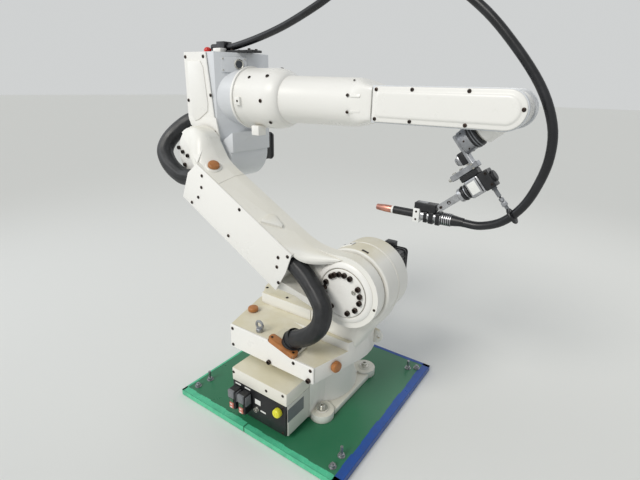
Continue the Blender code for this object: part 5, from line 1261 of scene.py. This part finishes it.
def capsule(inset, left=-0.3685):
    """Outline of the wrist cover: round at the wrist, soft corners at the arm."""
    half = HALF_CASE - inset
    points = [(half * math.sin(math.pi * i / 24), -half * math.cos(math.pi * i / 24)) for i in range(25)]
    corner = 0.014
    for i in range(7):
        angle = math.pi / 2 + math.pi / 2 * i / 6
        points.append((left + inset + corner + corner * math.cos(angle),
                       half - corner + corner * math.sin(angle)))
    for i in range(7):
        angle = math.pi + math.pi / 2 * i / 6
        points.append((left + inset + corner + corner * math.cos(angle),
                       corner - half + corner * math.sin(angle)))
    return points


steps = ((0.0, 0.0), (0.0, 0.0030), (0.0012, 0.0045), (0.0035, 0.0052), (0.0105, 0.0056), (0.0125, 0.0064),
         (0.0150, 0.0092), (0.0180, 0.0104), (0.0230, 0.0108))
bm = bmesh.new()
lofted(bm, [[(x, y, height) for x, y in capsule(inset)] for inset, height in steps],
       seat(FOREARM, (0, CASE_Y, 0), FRONT))
wrist_cover = show("wrist_cover_front", bm, COVER_CREAM, "forearm", 50.0)
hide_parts("wrist_cover_left")

# %% [markdown]
# ## Wrist cover screws
# Domed screws hold the cover along both long sides. The far cover isn't seen in the photograph, and
# the same places serve for it, as such covers are made in pairs.

# %% Wrist cover screws
case_screws = [(-0.357, 0.0405), (-0.248, 0.0420), (-0.094, 0.0420), (-0.357, -0.0405), (-0.248, -0.0420),
               (-0.094, -0.0420), (0.0405, 0.003)]
screws("wrist_cover_screws", FOREARM, [(x, CASE_Y - 0.0055, z) for x, z in case_screws], FRONT, 0.0055,
       "forearm")
screws("wrist_cover_screws_rear", FOREARM, [(x, 0.070, z) for x, z in case_screws], BACK, 0.0055, "forearm")
print("wrist cover", len(wrist_cover.data.polygons), "faces")

# %% [markdown]
# ## Tool flange
# The hand ends in a grey flange with six screws. Next to it is a black ring with two grey lips and
# eight small screws. Cylinders could be stacked, but turned profiles round the hand's axis keep the
# steps in line, and loops set the screws.

# %% Tool flange
bm = bmesh.new()
turned(bm, [(0, 0.149), (0.030, 0.149), (0.030, 0.151), (0.016, 0.151), (0.016, 0.1495), (0, 0.1495)],
       TOOL, 36, 0)
for i in range(6):
    turn = math.tau * (i + 0.5) / 6
    cap_screw(bm, TOOL @ Matrix.Translation((0.024 * math.cos(turn), 0.024 * math.sin(turn), 0.149)),
              0.0035, 0.003, material=1)
for i in range(8):
    turn = math.tau * i / 8
    out = Vector((math.cos(turn), math.sin(turn), 0))
    dome_screw(bm, seat(TOOL, out * 0.0338 + Vector((0, 0, 0.134)), out, (0, 0, 1)), 0.0028, 1)
show("flange_bolts", bm, (SATIN_GREY, BLACK_STEEL_AND_HOLE_SHADE), "tool")
bm = bmesh.new()
for start in (0.102, 0.109):
    turned(bm, [(0.0355, start), (0.0368, start + 0.001), (0.0368, start + 0.003), (0.0355, start + 0.004),
                (0.0355, start)], TOOL, 48)
show("ring_lips", bm, GREY_PLASTIC, "tool")

# %% [markdown]
# ## Block on the flange
# A black block with a round steel boss joins the flange to the torch bracket. The CAD piece is one
# plain block. This one replaces it, because its two materials and its boss show in the photograph.

# %% Block on the flange
bm = bmesh.new()
block_seat = TOOL @ Matrix.Translation((0.036, 0, 0.1598))
block(bm, (-0.018, -0.016, 0), (0.018, 0.016, 0.016), block_seat, 0.0015, 0)
block(bm, (-0.013, -0.014, 0.0155), (0.015, 0.014, 0.026), block_seat, 0.004, 1)
turned(bm, [(0, 0.026), (0.0125, 0.026), (0.0125, 0.028), (0.0105, 0.031), (0.004, 0.032), (0, 0.032)],
       block_seat, 32, 1)
for y in (-0.010, 0.010):
    cap_screw(bm, block_seat @ Matrix.Translation((-0.014, y, 0.016)), 0.003, 0.003, material=1)
bracket = show("bracket_block_detail", bm, (BLACK, STEEL), "tool")
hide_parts("bracket_block")

# %% [markdown]
# ## Bracket bolts
# Plated cap screws hold the bracket, and a round pin ends it. They could be one pattern of copies,
# but the two rows sit on different faces, so two loops set them on seats.

# %% Bracket bolts
bm = bmesh.new()
for along in (0.166, 0.190, 0.214):
    for y in (-0.008, 0.008):
        cap_screw(bm, seat(TOOL, (0.060, y, along), (-1, 0, 0), (0, 0, 1)), 0.0038, 0.004)
for x in (0.062, 0.074):
    cap_screw(bm, seat(TOOL, (x, 0.016, 0.155), (0, 1, 0), (0, 0, 1)), 0.0034, 0.0035)
turned(bm, [(0, 0), (0.005, 0), (0.005, 0.010), (0.0035, 0.012), (0, 0.012)],
       seat(TOOL, (0.0685, 0, 0.226), (0, 0, 1), (1, 0, 0)), 24)
show("bracket_bolts", bm, ZINC, "tool")

# %% [markdown]
# ## Crash sensor
# This spring-loaded coupling gives way when the torch hits something. It is a steel block on a black
# foot, with a black line, a blank label and screws. A single box could carry painted bands. Blocks
# with eased edges keep the real gaps between its parts.

# %% Crash sensor
bm = bmesh.new()
LOW_X, HIGH_X = 0.0943, 0.147
block(bm, (LOW_X, -0.024, 0.157), (HIGH_X, 0.024, 0.200), TOOL, 0.005, 0, 3)
block(bm, (LOW_X - 0.0002, -0.0225, 0.128), (HIGH_X + 0.001, 0.0225, 0.1575), TOOL, 0.003, 1, 3)
block(bm, (LOW_X + 0.004, -0.0245, 0.162), (HIGH_X - 0.004, 0.0245, 0.1655), TOOL, 0.0006, 1)
block(bm, (LOW_X + 0.009, 0.0235, 0.170), (HIGH_X - 0.009, 0.0247, 0.194), TOOL, 0.0005, 2)
for x in (LOW_X + 0.009, HIGH_X - 0.009):
    cap_screw(bm, seat(TOOL, (x, 0.0225, 0.135), (0, 1, 0), (0, 0, 1)), 0.0035, 0.0035, material=3)
    cap_screw(bm, seat(TOOL, (x, -0.0225, 0.135), (0, -1, 0), (0, 0, 1)), 0.0035, 0.0035, material=3)
turned(bm, [(0, 0), (0.0165, 0), (0.0165, 0.006), (0.014, 0.008), (0, 0.008)],
       seat(TOOL, (0.1206, 0, 0.128), (0, 0, -1), (1, 0, 0)), 36, 1)
sensor = show("shock_sensor_detail", bm, (STEEL, BLACK, WHITE_PLASTIC, BLACK_STEEL_AND_HOLE_SHADE), "tool")
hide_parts("shock_sensor")

# %% [markdown]
# ## Collar and neck
# Black ringed collars and a cone join the sensor to a flat steel neck with two pins. They could be
# scaled cylinders, but profiles turned round one axis have the rounded grip edges too.

# %% Collar and neck
bm = bmesh.new()
neck = TOOL @ Matrix.Translation((0.12065, 0, 0.2003))
for start, end in ((0.0005, 0.0095), (0.0130, 0.0215)):
    turned(bm, [(0.0150, start), (0.0218, start + 0.001), (0.0226, start + 0.003), (0.0226, end - 0.003),
                (0.0218, end - 0.001), (0.0150, end), (0.0150, start)], neck, 40)
turned(bm, [(0.0110, 0.024), (0.0185, 0.0245), (0.0170, 0.0335), (0.0110, 0.0345), (0.0110, 0.024)], neck, 40)
show("collar_rings", bm, BLACK, "tool")
bm = bmesh.new()
for y, normal in ((0.011, (0, 1, 0)), (-0.011, (0, -1, 0))):
    turned(bm, [(0.0035, 0), (0.0052, 0), (0.0052, 0.0006), (0.0035, 0.0006), (0.0035, 0)],
           seat(TOOL, (0.12065, y, 0.2692), normal, (0, 0, 1)), 28)
    cap_screw(bm, seat(TOOL, (0.12065, y, 0.297), normal, (0, 0, 1)), 0.004, 0.003)
show("neck_bushes", bm, BLACK_STEEL_AND_HOLE_SHADE, "tool")

# %% [markdown]
# ## Torch body
# From the back come a ribbed grip for the cable, the steel body, the black insulated barrel and a
# white ceramic ring before the copper nozzle. All of it is round, so it is turned on the torch's
# axis, and a loop adds the ribs.

# %% Torch body
bm = bmesh.new()
turned(bm, [(0, -0.064), (0.0185, -0.064), (0.0185, -0.034), (0.0160, -0.032), (0.0160, -0.014),
            (0.0155, -0.0135), (0.0155, 0.0305), (0.0125, 0.031), (0.0125, 0.054), (0, 0.054)],
       TORCH, 40, 0)
turned(bm, [(0, 0.053), (0.0124, 0.053), (0.0124, 0.1235), (0, 0.1235)], TORCH, 40, 1)
turned(bm, [(0, 0.123), (0.0119, 0.123), (0.0119, 0.1297), (0, 0.1297)], TORCH, 40, 2)
for start in (-0.062, -0.056, -0.050, -0.044, -0.038):
    turned(bm, [(0.0180, start), (0.0192, start + 0.0008), (0.0192, start + 0.0032), (0.0180, start + 0.004),
                (0.0180, start)], TORCH, 36, 1)
torch = show("torch_body_detail", bm, (STEEL, BLACK, WHITE_PLASTIC), "tool")
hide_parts("torch_body")

# %% [markdown]
# ## Torch clamp
# A white block with two dark holes and a black block with a steel bar hold the torch on the neck. The
# holes could be cut by a boolean. At this size a dark disc, the hole's shade painted in, looks the
# same and keeps the mesh simple.

# %% Torch clamp
bm = bmesh.new()
block(bm, (-0.022, -0.018, 0.032), (0.022, 0.018, 0.053), TORCH, 0.002, 0)
block(bm, (-0.040, -0.016, -0.0155), (-0.0165, 0.016, 0.0510), TORCH, 0.0015, 1)
turned(bm, [(0, 0), (0.009, 0), (0.009, 0.030), (0.0075, 0.0315), (0, 0.0315)],
       seat(TORCH, (-0.034, 0, 0.012), (0, 0, 1), (1, 0, 0)), 28, 2)
# Painted shade: two thin discs of black steel stand for the clamp's holes, their dark painted in.
for x in (-0.012, 0.012):
    turned(bm, [(0, 0), (0.0034, 0), (0.0034, 0.0006), (0, 0.0006)],
           seat(TORCH, (x, 0.018, 0.0425), (0, 1, 0), (1, 0, 0)), 24, 3)
clamp = show("torch_clamp_detail", bm, (WHITE_PLASTIC, BLACK, STEEL, BLACK_STEEL_AND_HOLE_SHADE), "tool")
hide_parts("torch_clamp")

# %% [markdown]
# ## Clamp bands
# Three black bands with a screw each go round the torch. They could be turned rings, but the real
# ones are nearly square with round corners, so they are extruded outlines.

# %% Clamp bands
bm = bmesh.new()
for start, end, half in ((-0.030, -0.018, 0.0195), (-0.010, 0.004, 0.0190), (0.010, 0.020, 0.0180)):
    extruded(bm, round_rect(half, half * 0.92, 0.006), end - start,
             TORCH @ Matrix.Translation((0.001, 0, start)), 0.0012)
    cap_screw(bm, seat(TORCH, (half * 0.6, half * 0.92, (start + end) / 2), (0, 1, 0), (0, 0, 1)), 0.003,
              0.0025)
show("torch_clamp_bands", bm, BLACK, "tool")

# %% [markdown]
# ## Cable guide fittings
# A rod with a grey socket, a satin knuckle and a joint carries the ring that guides the cable. Only
# the rod and the ring are in the solid. The rest is turned on the rod's axis, as on the real one.

# %% Cable guide fittings
bm = bmesh.new()
guide = seat(TOOL, (0.1475, 0, 0.1427), (1, 0, 0), (0, 0, 1))
turned(bm, [(0, 0), (0.0075, 0), (0.0075, 0.006), (0.0055, 0.007), (0.0055, 0.030), (0, 0.030)], guide, 24, 0)
turned(bm, [(0, 0.034), (0.0050, 0.034), (0.0066, 0.036), (0.0066, 0.044), (0.0050, 0.046), (0, 0.046)],
       guide, 24, 1)
block(bm, (-0.008, -0.0065, 0.047), (0.008, 0.0065, 0.060), guide, 0.002, 1)
turned(bm, [(0, 0.060), (0.0048, 0.060), (0.0048, 0.071), (0, 0.071)], guide, 20, 0)
show("guide_fittings", bm, (GREY_PLASTIC, SATIN_GREY), "tool")

# %% [markdown]
# ## Cable bushes
# A black bush lines the guide's ring, and a long bush keeps the cable from kinking at the torch. A
# plain end of cable in a hole would show a gap. A turned bush closes it.

# %% Cable bushes
bm = bmesh.new()
turned(bm, [(0.0122, -0.004), (0.0165, -0.003), (0.0165, 0.003), (0.0122, 0.004), (0.0122, -0.004)],
       TOOL @ Matrix.Translation((0.2396, 0, 0.1427)), 36)
tail = seat(TORCH, (0, 0, -0.064), (0, 0, -1), (1, 0, 0))
turned(bm, [(0.0122, 0), (0.0165, 0), (0.0160, 0.008), (0.0140, 0.020), (0.0128, 0.034), (0.0122, 0.034),
            (0.0122, 0)], tail, 36)
show("cable_bushes", bm, BLACK, "tool")

# %% [markdown]
# ## Floor
# The robot stands on a plain pale floor. A curved backdrop would show its bend from other sides, so
# the floor is one wide flat sheet that only carries the shadow.

# %% Floor
bm = bmesh.new()
bmesh.ops.create_grid(bm, x_segments=1, y_segments=1, size=40.0)
floor_mesh = bpy.data.meshes.new("studio_floor")
bm.to_mesh(floor_mesh)
bm.free()
# Matt floor paint: pale, with no highlight of its own.
floor_mat, floor_tree, floor_shader, _ = start_material("pale_floor")
feed(floor_tree, floor_shader, Base_Color=linear("#E4E5E2"), Roughness=0.85)
floor_mesh.materials.append(floor_mat)
floor = bpy.data.objects.new("studio_floor", floor_mesh)
bpy.context.scene.collection.objects.link(floor)
print("floor", tuple(floor.dimensions))

# %% [markdown]
# ## Lamps
# Daylight comes from the front left. A bare sun would give hard shadows, so it is as wide as a
# bright sky, and two weak panels open the left side and draw the rims at the back.


# %% Lamps
def lamp(name, kind, point, target, energy, colour, **settings):
    """A light that looks from a point at a target."""
    data = bpy.data.lights.new(name, kind)
    data.energy = energy
    data.color = linear(colour)[:3]
    for key, value in settings.items():
        setattr(data, key, value)
    light = bpy.data.objects.new(name, data)
    bpy.context.scene.collection.objects.link(light)
    aim = (Vector(target) - Vector(point)).to_track_quat("-Z", "Y").to_matrix().to_4x4()
    light.matrix_world = Matrix.Translation(point) @ aim


lamp("key_sun", "SUN", (-0.5, -2.8, 2.9), (0, 0, 0.6), 1.75, "#FFFCF6", angle=math.radians(24))
lamp("window_light", "AREA", (-2.6, -1.2, 2.2), (0, 0, 0.8), 15.0, "#F2F7FF", shape="RECTANGLE", size=2.4,
     size_y=1.6)
lamp("rim_light", "AREA", (0.8, 2.6, 2.6), (0, 0, 0.9), 14.0, "#FFFFFF", shape="RECTANGLE", size=2.4,
     size_y=1.4)

# %% [markdown]
# ## Background
# The camera sees a plain pale colour. A brighter world would also light the white castings until
# they clip. Light Path shows the pale colour only to the camera, to reflections and through glass,
# and gives the robot a weaker light.

# %% Background
world = bpy.data.worlds.new("studio")
world.use_nodes = True
bpy.context.scene.world = world
tree = world.node_tree
tree.nodes.clear()
EITHER = {"operation": "MAXIMUM"}
rays = add(tree, "LightPath").outputs
seen = add(tree, "Math", EITHER, i0=rays["Is Camera Ray"], i1=rays["Is Glossy Ray"])
seen = add(tree, "Math", EITHER, i0=seen, i1=rays["Is Transmission Ray"])
soft = add(tree, "Background", Color=linear("#EDF1F5"), Strength=0.45)
shown = add(tree, "Background", Color=linear("#DEE0E0"), Strength=0.86)
both = add(tree, "MixShader", i0=seen, i1=soft, i2=shown)
add(tree, "OutputWorld", Surface=both)
bpy.context.scene.view_settings.view_transform = "Standard"
print("world", world.name, "view", bpy.context.scene.view_settings.view_transform)
